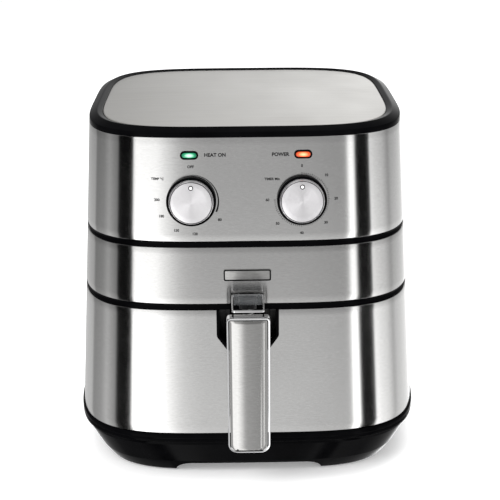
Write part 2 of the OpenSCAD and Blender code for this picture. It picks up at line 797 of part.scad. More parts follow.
module terminal_block() color("#e0ddd4") difference() {
    y_wall = front(z_panel + 14) - inner;
    block([-22, 22], [y_wall - 18, y_wall - 0.05], [z_panel + 2, z_panel + 14]);
    for (x = [-15, -5, 5, 15]) translate([x, 0, z_panel + 8]) rotate([-90, 0, 0]) cylinder(r = 2, h = far);
}

// ---- Drawer ----

frame_wall = 3;
lip = 2.4;
z_drawer_low = z_drawer + drawer_gap + 0.2;
z_drawer_top = z_low_groove - drawer_gap;

// The handle's pocket, seen from the front: upright sides, then slanting ones down to its floor
module pocket(grow, depth_from, depth_to) translate([0, depth_to, 0]) rotate([90, 0, 0])
    linear_extrude(depth_to - depth_from) polygon([
        [-pocket_half - grow, z_low_groove + over], [-pocket_half - grow, z_pocket_shoulder],
        [-pocket_foot_half - grow, z_pocket - grow], [pocket_foot_half + grow, z_pocket - grow],
        [pocket_half + grow, z_pocket_shoulder], [pocket_half + grow, z_low_groove + over]
    ]);

module drawer_skin() color("#c3c3c0") difference() {
    intersection() {
        wall(z_drawer_low, z_drawer_top, 0, skin);
        ahead(-seam_forward - drawer_gap);
    }
    pocket(0, -far, -seam_forward);
}

module drawer_frame() color("#121314") {
    difference() {
        intersection() {
            union() {
                wall(z_drawer_low, z_drawer_top, skin, skin + frame_wall);
                plate_ring(z_drawer_low, frame_wall, 0);
                plate_ring(z_pan_rim + 0.1, z_drawer_top - z_pan_rim - 0.1, pan_half_width + 3);
            }
            ahead(-seam_forward - drawer_gap);
        }
        pocket(0.01, -far, -seam_forward);
    }
    intersection() {
        difference() {
            pocket(0, -far, -pan_front - 0.3);
            pocket(-lip, -far, 0);
            block([-far, far], [-pan_front - flange - 0.4, 0], [z_pan_rim - flange_thickness - 0.1, far]);
        }
        // The lining follows the drawer's sloping front
        rotate([90, 0, 90]) translate([0, 0, -far / 2]) linear_extrude(far) polygon([
            [-front(z_pocket - 10) + 0.3, z_pocket - 10], [0, z_pocket - 10],
            [0, z_drawer_top], [-front(z_drawer_top) + 0.3, z_drawer_top]
        ]);
    }
    catch_y = y_pivot - 3;
    block([-lever_half, lever_half], [catch_y - 7, catch_y - 4], [z_pocket + lip - 1, z_pivot - 10]);
    block([-lever_half, lever_half], [catch_y - 4.5, catch_y], [z_pivot - 13.5, z_pivot - 10]);
}

// A flat web across the drawer's frame, with an opening of the pan's shape if half is over 0
module plate_ring(z, height, half) translate([0, 0, z]) linear_extrude(height) difference() {
    polygon(plan(half_width(z + height) - skin - frame_wall / 2));
    if (half > 0) polygon(plan(half, pan_ratio, pan_power, pan_seg, pan_y));
}

// A tub with a flanged rim
module tub(half, slope, z0, z1, wall_thickness, flange_width) {
    floor_half = half - slope;
    hoop([
        [floor_half - 6, z0], [floor_half - 1.5, z0 + 2], [floor_half, z0 + 6],
        [half, z1 - flange_thickness], [half + flange_width, z1 - flange_thickness],
        [half + flange_width, z1], [half - wall_thickness, z1], [floor_half - wall_thickness, z0 + 6.4],
        [floor_half - wall_thickness - 1.2, z0 + 3.4], [floor_half - 6, z0 + wall_thickness]
    ], pan_ratio, pan_power, pan_seg, pan_y);
}

module pan() color("#26282a") difference() {
    union() {
        tub(pan_half_width, pan_draft, z_pan_floor, z_pan_rim, pan_wall, flange);
        translate([0, 0, z_pan_floor]) linear_extrude(pan_wall)
            polygon(plan(pan_half_width - pan_draft - 5.9, pan_ratio, pan_power, pan_seg, pan_y));
    }
    block([-pocket_foot_half - 2, pocket_foot_half + 2], [-far, -basket_front + 6], [z_pocket, far]);
}

module basket() color("#2c2e31") {
    z_rim_basket = z_pan_rim + flange_thickness;
    floor_half = basket_half - basket_draft - 5.9;
    difference() {
        tub(basket_half, basket_draft, z_basket_floor, z_rim_basket, basket_wall, flange);
        for (s = [-1, 1], y = [-60 : 15 : 60])
            block([s * basket_half - 12, s * basket_half + 12], [pan_y + y - 2, pan_y + y + 2],
                  [z_basket_floor + 10, z_basket_floor + 34]);
        for (x = [-75 : 15 : 75])
            block([x - 2, x + 2], [pan_y, far], [z_basket_floor + 10, z_basket_floor + 34]);
        handle_screw_places() translate([0, 0, -over]) cylinder(r = 1.7, h = 20);
    }
    translate([0, 0, z_basket_floor]) linear_extrude(basket_wall) difference() {
        polygon(plan(floor_half, pan_ratio, pan_power, pan_seg, pan_y));
        reach = floor_half - hole_pitch;
        for (x = [-6 : 6], y = [-6 : 6])
            let (p = [(x + (y % 2 == 0 ? 0 : 0.5)) * hole_pitch, y * hole_pitch * 0.87])
                if (pow(abs(p[0]) / reach, 4) + pow(abs(p[1]) / (reach * pan_ratio), 4) < 1)
                    translate([p[0], p[1] + pan_y]) circle(d = hole_diameter, $fn = 24);
    }
}

// ---- Handle ----

module grip_outline(grow) {
    half = grip_width / 2 + grow;
    bottom = z_grip - grow;
    z_grip_top = z_neck - grip_drop + grow;
    low = 8;
    polygon(concat(
        [for (t = [0 : 15 : 90]) [half - low + low * sin(t), bottom + low - low * cos(t)]],
        [[half, z_grip_top - 3], [half - 3, z_grip_top], [-half + 3, z_grip_top], [-half, z_grip_top - 3]],
        [for (t = [90 : -15 : 0]) [-half + low - low * sin(t), bottom + low - low * cos(t)]]));
}

module upright(y0, y1) translate([0, y1, 0]) rotate([90, 0, 0]) linear_extrude(y1 - y0) children();

module handle_core() color("#0f1011") difference() {
    union() {
        upright(y_grip_front, y_grip_back) grip_outline(-trim_width);
        block(neck_span, [y_trim_back + 0.05, y_neck_back], [z_neck_under, z_neck]);
        block(neck_span, [y_grip_front + 2, y_neck_back], [z_neck - grip_drop + 0.05, z_neck]);
        block(neck_span, [y_neck_back - 1, y_bracket_back - 0.05], [z_bracket, z_bracket_top]);
        block(neck_span, [y_neck_back - 10, y_neck_back], [z_bracket, z_neck - 10]);
        rotate([90, 0, 90]) translate([0, 0, -neck_width / 2]) linear_extrude(neck_width) polygon([
            [y_grip_back - eps, z_neck_under - 12], [y_grip_back + 11, z_neck_under + eps],
            [y_grip_back - eps, z_neck_under + eps]
        ]);
    }
    translate([0, y_button, z_well])
        rounded_box([button_size[0] + 2 * fit, button_size[1] + 2 * fit, far], 3);
    block([-slot_half, slot_half], [y_button - stem_radius - 3, y_bracket_back - 2],
          [z_bracket - over, z_neck - 16]);
    translate([0, y_button, z_neck - 20]) cylinder(r = stem_radius + fit, h = far);
    translate([-far / 2, y_pivot, z_pivot]) rotate([0, 90, 0]) cylinder(r = pivot_radius, h = far);
    handle_screw_places() cylinder(r = 1.6, h = 14);
}

module handle_trim() color("#dcdddd") difference() {
    upright(y_grip_front - 0.6, y_trim_back) grip_outline(0);
    upright(y_grip_front - over, y_trim_back + over) grip_outline(-trim_width);
}

module handle_face() color("#bdbdbb") {
    inset = trim_width + 1;
    upright(y_grip_front - face_lift + 0.7, y_grip_front) grip_outline(-inset);
    upright(y_grip_front - face_lift, y_grip_front - face_lift + 0.7) grip_outline(-inset - 1.2);
}

// Runs forward from the inside of the basket's front wall
module handle_screw_places() for (s = [-1, 1])
    translate([s * 11, -basket_front + basket_wall + basket_slope, z_screw]) rotate([90, 0, 0]) children();

module handle_screws() color("silver") {
    handle_screw_places() screw(1.55, 12, 3.2, 1.2);
    translate([-neck_width / 2 + 0.5, y_pivot, z_pivot]) rotate([0, 90, 0])
        cylinder(r = pivot_radius, h = neck_width - 1);
}

module release_button() color("#3b3d40") {
    translate([0, y_button, z_button - button_depth])
        rounded_box([button_size[0], button_size[1], button_depth], 3);
    z_tip = z_pivot + arm_half + stem_gap;
    translate([0, y_button, z_tip]) cylinder(r = stem_radius, h = z_button - button_depth / 2 - z_tip);
}

module button_spring() color("silver") {
    low = z_well + coil_wire + 0.1;
    rise = z_button - button_depth - coil_wire - 0.1 - low;
    coils = 3;
    translate([0, y_button, 0]) wire([for (t = [0 : 20 : coils * 360])
        [coil_radius * cos(t), coil_radius * sin(t), low + rise * t / (coils * 360)]], coil_wire, 6);
}

module guard_bezel() color("#dcdddd") translate([0, y_bezel_back - bezel_length / 2, z_neck]) difference() {
    rounded_box([guard_width + 2 * fit + 2 * bezel_wall, bezel_length, bezel_height], 2.5);
    translate([0, 0, -over])
        rounded_box([guard_width + 2 * fit, bezel_length - 2 * bezel_wall, bezel_height + 2 * over], 1.5);
}

module button_guard() color([0.8, 0.85, 0.9, 0.4])
translate([0, y_guard_back - guard_length / 2, z_neck + 0.1]) difference() {
    open_height = guard_height - guard_skin;
    rounded_box([guard_width, guard_length, guard_height], 1.4);
    translate([0, 0, -over])
        rounded_box([guard_width - 2 * guard_skin, guard_length - 2 * guard_skin, open_height + over], 1);
    // open at the back, so that it passes over the raised button
    block([-button_size[0] / 2 - 1, button_size[0] / 2 + 1], [0, far], [-over, open_height]);
}

module latch_lever() color("#7d8083") difference() {
    union() {
        translate([-lever_half, y_pivot, z_pivot]) rotate([0, 90, 0]) cylinder(r = 4, h = 2 * lever_half);
        block([-lever_half, lever_half], [y_button - 1, y_pivot], [z_pivot - arm_half, z_pivot + arm_half]);
        block([-lever_half, lever_half], [y_pivot - 2.5, y_pivot + 2.5], [z_pivot - 16, z_pivot]);
        block([-lever_half, lever_half], [y_pivot - 4.5, y_pivot + 2.5], [z_pivot - 18, z_pivot - 14]);
    }
    translate([-far / 2, y_pivot, z_pivot]) rotate([0, 90, 0]) cylinder(r = pivot_radius + running, h = far);
}

seat() base_tray();
seat() foot_pads();
seat() lower_housing();
seat() lower_wrap();
seat() low_groove_ring();
seat() middle_housing();
seat() middle_band();
seat() high_groove_ring();
seat() panel_housing();
seat() panel_band();
seat() top_rim();
seat() top_plate();
seat() badge();
seat() rear_cover();
seat() case_screws();
seat() cord_gland();
seat() cavity_liner();
seat() slide_rails();
seat() chassis_deck();
seat() heater_dome();
seat() heating_element();
seat() element_clips();
seat() splash_guard();
seat() exhaust_duct();
seat() heat_shield();
seat() shield_spacers();
seat() motor_can();
seat() motor_bearings();
seat() motor_bracket();
seat() motor_shaft();
seat() convection_fan();
seat() fan_nut();
seat() cooling_fan();
seat() thermostat();
seat() sensor_bulb();
seat() timer();
seat() timer_bell();
seat() temperature_knob();
seat() temperature_spindle();
seat() timer_knob();
seat() timer_spindle();
seat() lamp_bezels();
seat() heat_lamp_lens();
seat() power_lamp_lens();
seat() neon_lamps();
seat() drawer_switch();
seat() terminal_block();
seat() drawer_skin();
seat() drawer_frame();
seat() pan();
seat() basket();
seat() handle_core();
seat() handle_face();
seat() handle_trim();
seat() handle_screws();
seat() guard_bezel();
seat() button_guard();
seat() release_button();
seat() button_spring();
seat() latch_lever();
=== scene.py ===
"""The looks of a countertop air fryer: brushed steel bands, gloss black trim, two dials, a drawer with a basket."""

import json
import math

import bmesh
import bpy
from mathutils import Matrix, Vector

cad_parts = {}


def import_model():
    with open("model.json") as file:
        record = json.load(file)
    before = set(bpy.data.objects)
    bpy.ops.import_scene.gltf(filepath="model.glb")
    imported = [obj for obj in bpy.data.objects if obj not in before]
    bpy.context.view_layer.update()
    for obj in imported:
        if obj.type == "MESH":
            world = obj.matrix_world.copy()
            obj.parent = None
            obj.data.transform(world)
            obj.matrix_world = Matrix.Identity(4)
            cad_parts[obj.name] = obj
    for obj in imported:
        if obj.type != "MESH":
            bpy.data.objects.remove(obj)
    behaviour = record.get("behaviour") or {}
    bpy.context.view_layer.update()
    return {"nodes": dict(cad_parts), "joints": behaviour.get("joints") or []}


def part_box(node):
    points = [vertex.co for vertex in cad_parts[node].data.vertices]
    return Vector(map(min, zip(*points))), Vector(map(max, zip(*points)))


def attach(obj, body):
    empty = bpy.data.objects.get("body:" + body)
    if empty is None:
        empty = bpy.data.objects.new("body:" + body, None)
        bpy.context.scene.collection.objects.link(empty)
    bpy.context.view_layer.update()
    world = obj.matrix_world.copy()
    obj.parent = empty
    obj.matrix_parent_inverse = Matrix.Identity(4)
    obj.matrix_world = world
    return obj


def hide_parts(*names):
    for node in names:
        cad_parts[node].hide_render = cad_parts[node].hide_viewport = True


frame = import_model()

# ---- Places and sizes read from the frame, in metres ----

MM = 0.001
JOINTS = {joint["name"]: joint for joint in frame["joints"]}
CY = JOINTS["fan_spin"]["pos_m"][1]           # the body's plan centre lies at (0, CY)


def low(node):
    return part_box(node)[0]


def high(node):
    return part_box(node)[1]


def middle(node):
    return [(a + b) / 2 for a, b in zip(*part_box(node))]


Z_BASE = high("base_tray")[2]
Z_LOW_GROOVE = low("low_groove_ring")[2]
Z_MIDDLE = high("low_groove_ring")[2]
Z_PANEL = low("panel_band")[2]
Z_RIM = high("panel_band")[2]
Z_KNEE = high("top_rim")[2]
Z_TOP = high("top_plate")[2]
NECK_WIDTH = 31 * MM
WINDOW_HALF = 40 * MM                         # the openings in the rear, behind the louvres
WINDOWS = ((Z_MIDDLE + 9 * MM, Z_MIDDLE + 41 * MM), (Z_PANEL + 24 * MM, Z_PANEL + 64 * MM))
GRIP_CROWN = 3.3 * MM                         # how far the grip's face falls back at the trim, too far for its thickness

LOW_HALF = high("lower_wrap")[0]              # half width of the body at the drawer's lower edge
TOP_HALF = high("top_rim")[0]                 # and where the rim sits
DRAFT = (LOW_HALF - TOP_HALF) / (Z_RIM - Z_BASE)
DEPTH_RATIO = (high("lower_wrap")[1] - CY) / LOW_HALF
LEAN = math.atan(DRAFT * DEPTH_RATIO)
SQUARENESS = 4.1
PAN_SQUARENESS = 5
SEAM_Y = low("lower_wrap")[1]                 # the drawer's side seam
RIM_INSET = TOP_HALF - high("top_plate")[0]
AROUND = 288                                  # columns round the body


def half_width(z):
    """Half the body's width at a level."""
    return LOW_HALF - DRAFT * (z - Z_BASE)


def bent(value, power):
    """A sine or cosine pushed outward, so that a circle becomes a superellipse."""
    return math.copysign(abs(value) ** (2 / power), value)


def plan_point(half, angle, ratio, power, y):
    """A point on a superellipse of that half width, with its centre at y."""
    return half * bent(math.cos(angle), power), half * ratio * bent(math.sin(angle), power) + y


def front(x, z):
    """The y of the body's front face."""
    half = half_width(z)
    return CY - half * DEPTH_RATIO * (1 - min(1, abs(x) / half) ** SQUARENESS) ** (1 / SQUARENESS)


def even_angles(count, ratio, power):
    """Angles that space points evenly along the superellipse, found by walking its outline."""
    fine = 4096                               # steps of the walk
    points = [plan_point(1, 2 * math.pi * i / fine, ratio, power, 0) for i in range(fine + 1)]
    length = [0]
    for a, b in zip(points, points[1:]):
        length.append(length[-1] + math.dist(a, b))
    angles, j = [], 0
    for i in range(count):
        target = length[-1] * i / count
        while length[j + 1] < target:
            j += 1
        share = (target - length[j]) / (length[j + 1] - length[j])
        angles.append(2 * math.pi * (j + share) / fine)
    return angles


# ---- Mesh building ----

def new_object(name, data):
    """Adds an object that holds this data to the scene."""
    thing = bpy.data.objects.new(name, data)
    bpy.context.scene.collection.objects.link(thing)
    return thing


def mesh_of(shape, name="part"):
    """Turns a bmesh into a mesh and frees it."""
    data = bpy.data.meshes.new(name)
    shape.to_mesh(data)
    shape.free()
    return data


def piece(name, shape, body, material, stands_for=(), smooth=38, at=None):
    """Makes an object from a bmesh, gives it its material and lets it ride on its body."""
    thing = new_object(name, mesh_of(shape, name))
    soften(thing, smooth)
    if at:
        thing.matrix_world = at
    thing.data.materials.append(material)
    if stands_for:
        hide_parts(*stands_for)
    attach(thing, body)
    return thing


def soften(thing, degrees):
    """Shades faces smooth where they meet at less than this angle."""
    data = thing.data
    data.polygons.foreach_set("use_smooth", [True] * len(data.polygons))
    shape = bmesh.new()
    shape.from_mesh(data)
    for edge in shape.edges:
        edge.smooth = len(edge.link_faces) == 2 and edge.calc_face_angle(0) < math.radians(degrees)
    shape.to_mesh(data)
    shape.free()


def fillet(points, steps=4):
    """Rounds a closed outline of (u, v, radius): each corner becomes an arc of that radius."""
    result = []
    count = len(points)
    for i, (u, v, radius) in enumerate(points):
        corner = Vector((u, v))
        if radius <= 0:
            result.append(corner)
            continue
        back = Vector(points[i - 1][:2]) - corner
        ahead = Vector(points[(i + 1) % count][:2]) - corner
        half = back.angle(ahead) / 2
        if abs(half - math.pi / 2) < 0.01:
            result.append(corner)
            continue
        reach = min(radius / math.tan(half), back.length * 0.49, ahead.length * 0.49)
        round_radius = reach * math.tan(half)
        centre = corner + (back.normalized() + ahead.normalized()).normalized() * (round_radius / math.sin(half))
        start = corner + back.normalized() * reach - centre
        finish = corner + ahead.normalized() * reach - centre
        turn = start.angle_signed(finish)
        for k in range(steps + 1):
            angle = -turn * k / steps
            cos, sin = math.cos(angle), math.sin(angle)
            result.append(centre + Vector((start.x * cos - start.y * sin, start.x * sin + start.y * cos)))
    return result


def split(points, step):
    """Adds points along a closed outline so that no side is longer than step."""
    result = []
    for a, b in zip(points, points[1:] + points[:1]):
        parts = max(1, math.ceil((b - a).length / step))
        result += [a.lerp(b, k / parts) for k in range(parts)]
    return result


def bridge(shape, rings, closed=False):
    """Joins rings of equal point counts with faces, back to the first if closed, or else with two caps."""
    for lower, upper in zip(rings, rings[1:] + rings[:1] if closed else rings[1:]):
        for i in range(len(lower)):
            j = (i + 1) % len(lower)
            shape.faces.new((lower[i], lower[j], upper[j], upper[i]))
    if not closed:
        shape.faces.new(list(reversed(rings[0])))
        shape.faces.new(rings[-1])
    bmesh.ops.recalc_face_normals(shape, faces=shape.faces)
    return shape


def hoop(section, ratio=DEPTH_RATIO, power=SQUARENESS, y=CY, around=AROUND, closed=True):
    """A mesh swept round the plan: section is a list of (half width, z), up the outside first."""
    shape = bmesh.new()
    angles = even_angles(around, ratio, power)
    rings = [[shape.verts.new((*plan_point(half, a, ratio, power, y), z)) for a in angles] for half, z in section]
    return bridge(shape, rings, closed)


def stepped(outlines, closed=False):
    """A solid of stacked outlines with equal point counts, a list of (outline, z).

    A closed one goes up the outside and down the inside.
    """
    shape = bmesh.new()
    rings = [[shape.verts.new((p.x, p.y, z)) for p in outline] for outline, z in outlines]
    return bridge(shape, rings, closed)


def body_section(points, step=None):
    """A section given as (inset from the body's side, z, radius), as (half width, z)."""
    rounded = fillet(points)
    if step:
        rounded = split(rounded, step)
    return [(half_width(p.y) - p.x, p.y) for p in rounded]


def lathe(profile, around=128, closed=False):
    """A mesh turned about Z: profile is a list of (radius, z), from the axis out and back to it."""
    shape = bmesh.new()
    rings = []
    for radius, z in profile:
        if radius < 1e-7:
            rings.append([shape.verts.new((0, 0, z))])
            continue
        turns = [2 * math.pi * i / around for i in range(around)]
        rings.append([shape.verts.new((radius * math.cos(t), radius * math.sin(t), z)) for t in turns])
    for a, b in zip(rings, rings[1:] + rings[:1] if closed else rings[1:]):
        for i in range(around):
            j = (i + 1) % around
            corners = [a[i % len(a)], a[j % len(a)], b[j % len(b)], b[i % len(b)]]
            unique = list(dict.fromkeys(corners))
            if len(unique) > 2:
                shape.faces.new(unique)
    bmesh.ops.recalc_face_normals(shape, faces=shape.faces)
    return shape


def rod(radius, z0, z1, around):
    """A plain cylinder about Z."""
    return lathe([(0, z0), (radius, z0), (radius, z1), (0, z1)], around)


def offset(outline, distance):
    """A closed outline moved outward by a distance, along the mean of its sides' normals."""
    count = len(outline)
    result = []
    for i in range(count):
        a = outline[i] - outline[i - 1]
        b = outline[(i + 1) % count] - outline[i]
        normal_a = Vector((a.y, -a.x)).normalized()
        normal_b = Vector((b.y, -b.x)).normalized()
        mean = normal_a + normal_b
        result.append(outline[i] + mean * (distance / max(0.3, mean.length_squared / 2)))
    return result


def quarter(steps, first=0):
    """The angles of a quarter turn, in equal steps."""
    return [math.pi / 2 * k / steps for k in range(first, steps + 1)]


def slab(outline, depth, edge=0.0, steps=4):
    """A plate with rounded rims: an anticlockwise outline in XY, from z = 0 up to depth."""
    levels = [(0, 0), (0, depth)]
    if edge:
        levels = [(-edge * (1 - math.sin(t)), edge * (1 - math.cos(t))) for t in quarter(steps)]
        levels += [(-edge * (1 - math.cos(t)), depth - edge * (1 - math.sin(t))) for t in quarter(steps)]
    return stepped([(offset(outline, grow) if grow else outline, z) for grow, z in levels])


def rectangle(width, height, radius, steps=6):
    """A rounded rectangle about the origin."""
    w, h = width / 2, height / 2
    return fillet([(-w, -h, radius), (w, -h, radius), (w, h, radius), (-w, h, radius)], steps)


def place(shape, matrix):
    """Moves a bmesh."""
    bmesh.ops.transform(shape, matrix=matrix, verts=shape.verts)
    return shape


def joined(*shapes):
    """One bmesh from several."""
    whole = bmesh.new()
    for shape in shapes:
        data = mesh_of(shape)
        whole.from_mesh(data)
        bpy.data.meshes.remove(data)
    return whole


def box_shape(low_corner, high_corner):
    """A plain block between two corners."""
    shape = bmesh.new()
    bmesh.ops.create_cube(shape, size=1)
    a, b = Vector(low_corner), Vector(high_corner)
    size = b - a
    place(shape, Matrix.Translation((a + b) / 2) @ Matrix.Diagonal((*size, 1)))
    return shape


def carve(shape, cutter, operation="DIFFERENCE"):
    """The first bmesh with the second cut away, or kept where they meet."""
    target, tool = objects = [new_object("part", mesh_of(part)) for part in (shape, cutter)]
    modifier = target.modifiers.new("carve", "BOOLEAN")
    modifier.operation = operation
    modifier.solver = "EXACT"
    modifier.object = tool
    graph = bpy.context.evaluated_depsgraph_get()
    result = bmesh.new()
    result.from_object(target, graph)
    for thing in objects:
        data = thing.data
        bpy.data.objects.remove(thing)
        bpy.data.meshes.remove(data)
    return result


def facing(y_back):
    """Turns a slab lying in XY so that it stands in XZ and looks to the front, its back at y_back."""
    return Matrix(((1, 0, 0, 0), (0, 0, -1, y_back), (0, 1, 0, 0), (0, 0, 0, 1)))


def rounded_block(low_corner, high_corner, radius, edge, steps=4):
    """An upright block with rounded corners in plan and rounded rims."""
    a, b = Vector(low_corner), Vector(high_corner)
    size = b - a
    shape = slab(rectangle(size.x, size.y, radius), size.z, edge, steps)
    return place(shape, Matrix.Translation(((a.x + b.x) / 2, (a.y + b.y) / 2, a.z)))


def on_panel(x, z, out=0.0):
    """A frame on the body's front: +Z outward, +Y up the panel."""
    upright = Matrix.Rotation(math.pi / 2 - LEAN, 4, "X")
    return Matrix.Translation((x, front(0, z), z)) @ upright @ Matrix.Translation((0, 0, out))


def rear_bore(radius, around):
    """A round cutter through the rear wall, on the axis of the cord gland."""
    start = Matrix.Translation((0, 0.05, middle("cord_gland")[2]))
    return place(rod(radius, 0, 0.3, around), start @ Matrix.Rotation(-math.pi / 2, 4, "X"))


# ---- Materials ----

class Tree:
    """Adds and links shader nodes. Settings that start with in_ go to the socket of that name."""

    def __init__(self, tree):
        self.tree = tree

    def add(self, kind, **settings):
        node = self.tree.nodes.new(kind)
        for key, value in settings.items():
            if key.startswith("in_"):
                node.inputs[key[3:].replace("_", " ")].default_value = value
            else:
                setattr(node, key, value)
        return node

    def link(self, a, out, b, into):
        self.tree.links.new(a.outputs[out], b.inputs[into])


class Nodes(Tree):
    """The nodes of one material."""

    def __init__(self, name):
        self.material = bpy.data.materials.new(name)
        self.material.use_nodes = True
        super().__init__(self.material.node_tree)
        self.shader = self.tree.nodes["Principled BSDF"]

    def set(self, **values):
        for key, value in values.items():
            self.shader.inputs[key.replace("_", " ")].default_value = value

    def grain(self, scale, stretch=(1, 1, 1), detail=4, roughness=0.6):
        """Noise in the object's own frame, stretched by a scale on each axis."""
        place_node = self.add("ShaderNodeTexCoord")
        mapping = self.add("ShaderNodeMapping", in_Scale=stretch)
        noise = self.add("ShaderNodeTexNoise", in_Scale=scale, in_Detail=detail, in_Roughness=roughness)
        self.link(place_node, "Object", mapping, "Vector")
        self.link(mapping, "Vector", noise, "Vector")
        return noise

    def rough(self, source, smoothest, roughest):
        """Lets the noise drive the roughness."""
        remap = self.add("ShaderNodeMapRange", in_From_Min=0.3, in_From_Max=0.7,
                         in_To_Min=smoothest, in_To_Max=roughest)
        self.link(source, "Fac", remap, "Value")
        self.link(remap, "Result", self.shader, "Roughness")

    def bump(self, source, strength, distance):
        node = self.add("ShaderNodeBump", in_Strength=strength, in_Distance=distance)
        self.link(source, "Fac", node, "Height")
        self.link(node, "Normal", self.shader, "Normal")

    def turned(self, axis):
        """Lets highlights smear round an axis of the object."""
        tangent = self.add("ShaderNodeTangent", direction_type="RADIAL", axis=axis)
        self.link(tangent, "Tangent", self.shader, "Tangent")

    def ramp(self, source, *stops):
        """A colour ramp of (position, colour) stops over the source's strength."""
        node = self.add("ShaderNodeValToRGB")
        points = node.color_ramp.elements
        for k, (position, colour) in enumerate(stops):
            point = points[0] if k == 0 else points[-1] if k == len(stops) - 1 else points.new(position)
            point.position = position
            point.color = (*colour, 1)
        self.link(source, "Fac", node, "Fac")
        self.link(node, "Color", self.shader, "Base Color")
        return node

    def tint(self, source, dark, light):
        """Lets the colour drift between two shades."""
        return self.ramp(source, (0.3, dark), (0.7, light))


def brushed(name, dark, light, rough, anisotropy=0.88, stretch=(260, 260, 1800), axis="Z", strength=0.08):
    """Steel brushed along the stretched direction, so that highlights smear across it."""
    look = Nodes(name)
    look.set(Metallic=1.0, Anisotropic=anisotropy, Anisotropic_Rotation=0.25)
    fine = look.grain(1.0, stretch, detail=6, roughness=0.7)
    look.tint(fine, dark, light)
    look.rough(look.grain(14.0, detail=2), *rough)
    look.bump(fine, strength, 0.00008)
    look.turned(axis)
    return look.material


def moulded(name, dark, light, rough, strength=0.15, gloss=0.4):
    """Moulded plastic: a fine grain, faint colour drift and an even sheen."""
    look = Nodes(name)
    look.set(Specular_IOR_Level=gloss)
    drift = look.grain(30.0, detail=3)
    look.tint(drift, dark, light)
    look.rough(drift, *rough)
    look.bump(look.grain(1800.0, detail=2), strength, 0.00005)
    return look.material


def metal(name, dark, light, rough, strength=0.05, scale=120.0):
    """Bare or plated metal with faint handling marks."""
    look = Nodes(name)
    look.set(Metallic=1.0)
    marks = look.grain(scale, detail=6)
    look.tint(marks, dark, light)
    look.rough(marks, *rough)
    look.bump(marks, strength, 0.0001)
    return look.material


STEEL = brushed("brushed_steel", (0.58, 0.577, 0.57), (0.67, 0.667, 0.66), rough=(0.13, 0.18))
# The middle band's steel is the band steel painted darker: painted shade on the middle band.
SHADED_MIDDLE_STEEL = brushed("shaded_middle_steel", (0.50, 0.497, 0.49), (0.58, 0.577, 0.57), rough=(0.13, 0.18))
# The grip's face is the band steel painted much darker: painted shade on the grip.
SHADED_HANDLE_STEEL = brushed("shaded_handle_steel", (0.33, 0.327, 0.32), (0.40, 0.397, 0.39), rough=(0.13, 0.18), strength=0.05)
TOP_STEEL = brushed("top_steel", (0.60, 0.59, 0.565), (0.70, 0.69, 0.665), rough=(0.34, 0.42), anisotropy=0.5,
                    stretch=(6, 700, 6), axis="X", strength=0.06)
BLACK = moulded("gloss_black", (0.0012, 0.0012, 0.0014), (0.0024, 0.0024, 0.0028), rough=(0.08, 0.14), strength=0.02,
                gloss=0.012)
SATIN_BLACK = moulded("satin_black", (0.008, 0.008, 0.009), (0.014, 0.014, 0.015), rough=(0.38, 0.5), gloss=0.3)
CARCASS = moulded("carcass_black", (0.020, 0.020, 0.022), (0.030, 0.030, 0.032), rough=(0.5, 0.6), strength=0.25)
RUBBER = moulded("pad_rubber", (0.020, 0.020, 0.020), (0.034, 0.034, 0.034), rough=(0.7, 0.85), strength=0.35)
CREAM = moulded("control_cream", (0.60, 0.57, 0.50), (0.68, 0.65, 0.58), rough=(0.4, 0.5))
CHROME = metal("chrome", (0.82, 0.82, 0.83), (0.90, 0.90, 0.91), rough=(0.03, 0.08), strength=0.01)
BRIGHT = metal("bright_steel", (0.58, 0.58, 0.58), (0.72, 0.72, 0.72), rough=(0.16, 0.28))
ZINC = metal("zinc_sheet", (0.42, 0.43, 0.44), (0.58, 0.59, 0.60), rough=(0.30, 0.46), strength=0.15, scale=60.0)
COPPER = metal("copper_tube", (0.70, 0.35, 0.22), (0.82, 0.45, 0.30), rough=(0.2, 0.35))
ELEMENT = metal("element_tube", (0.10, 0.085, 0.075), (0.19, 0.16, 0.14), rough=(0.45, 0.6), strength=0.3,
                scale=400.0)
BUTTON = moulded("button_grey", (0.010, 0.010, 0.011), (0.018, 0.018, 0.019), rough=(0.25, 0.35), gloss=0.3)
BADGE = brushed("badge_steel", (0.42, 0.415, 0.405), (0.56, 0.555, 0.545), rough=(0.3, 0.4), strength=0.05)
# Black print, also used for the painted reflection ring in each dial cap's groove.
INK_AND_REFLECTION = moulded("print_and_reflection_ink", (0.004, 0.004, 0.004), (0.008, 0.008, 0.009), rough=(0.4, 0.5), strength=0.05, gloss=0.1)
DOT_WHITE = moulded("dot_white", (0.85, 0.85, 0.84), (0.92, 0.92, 0.91), rough=(0.2, 0.3), strength=0.05)


def nonstick():
    """Dark speckled non-stick coating."""
    look = Nodes("nonstick")
    look.set(Coat_Weight=0.25, Coat_Roughness=0.25)
    speck = look.grain(1400.0, detail=2)
    look.tint(speck, (0.010, 0.010, 0.011), (0.035, 0.035, 0.037))
    look.rough(look.grain(25.0, detail=3), 0.34, 0.48)
    look.bump(speck, 0.2, 0.00008)
    return look.material


def lens_look(name, deep, bright, core, glow):
    """A coloured lens over a lamp: deep at its rim, bright where the lamp sits behind it, with fine cross ribs."""
    look = Nodes(name)
    look.set(Roughness=0.12, Coat_Weight=0.6, Coat_Roughness=0.03, Emission_Strength=glow)
    spot = look.add("ShaderNodeTexCoord")
    within = look.add("ShaderNodeMapping", in_Scale=(1 / LENS_GLOW[0], 1 / LENS_GLOW[1], 0))
    look.link(spot, "Object", within, "Vector")
    glowing = look.add("ShaderNodeTexGradient", gradient_type="SPHERICAL")
    look.link(within, "Vector", glowing, "Vector")
    colours = look.ramp(glowing, (0, deep), (0.35, bright), (0.85, core))
    look.link(colours, "Color", look.shader, "Emission Color")
    look.bump(look.grain(60.0, (30, 1, 1), detail=1), 0.2, 0.0002)
    return look.material


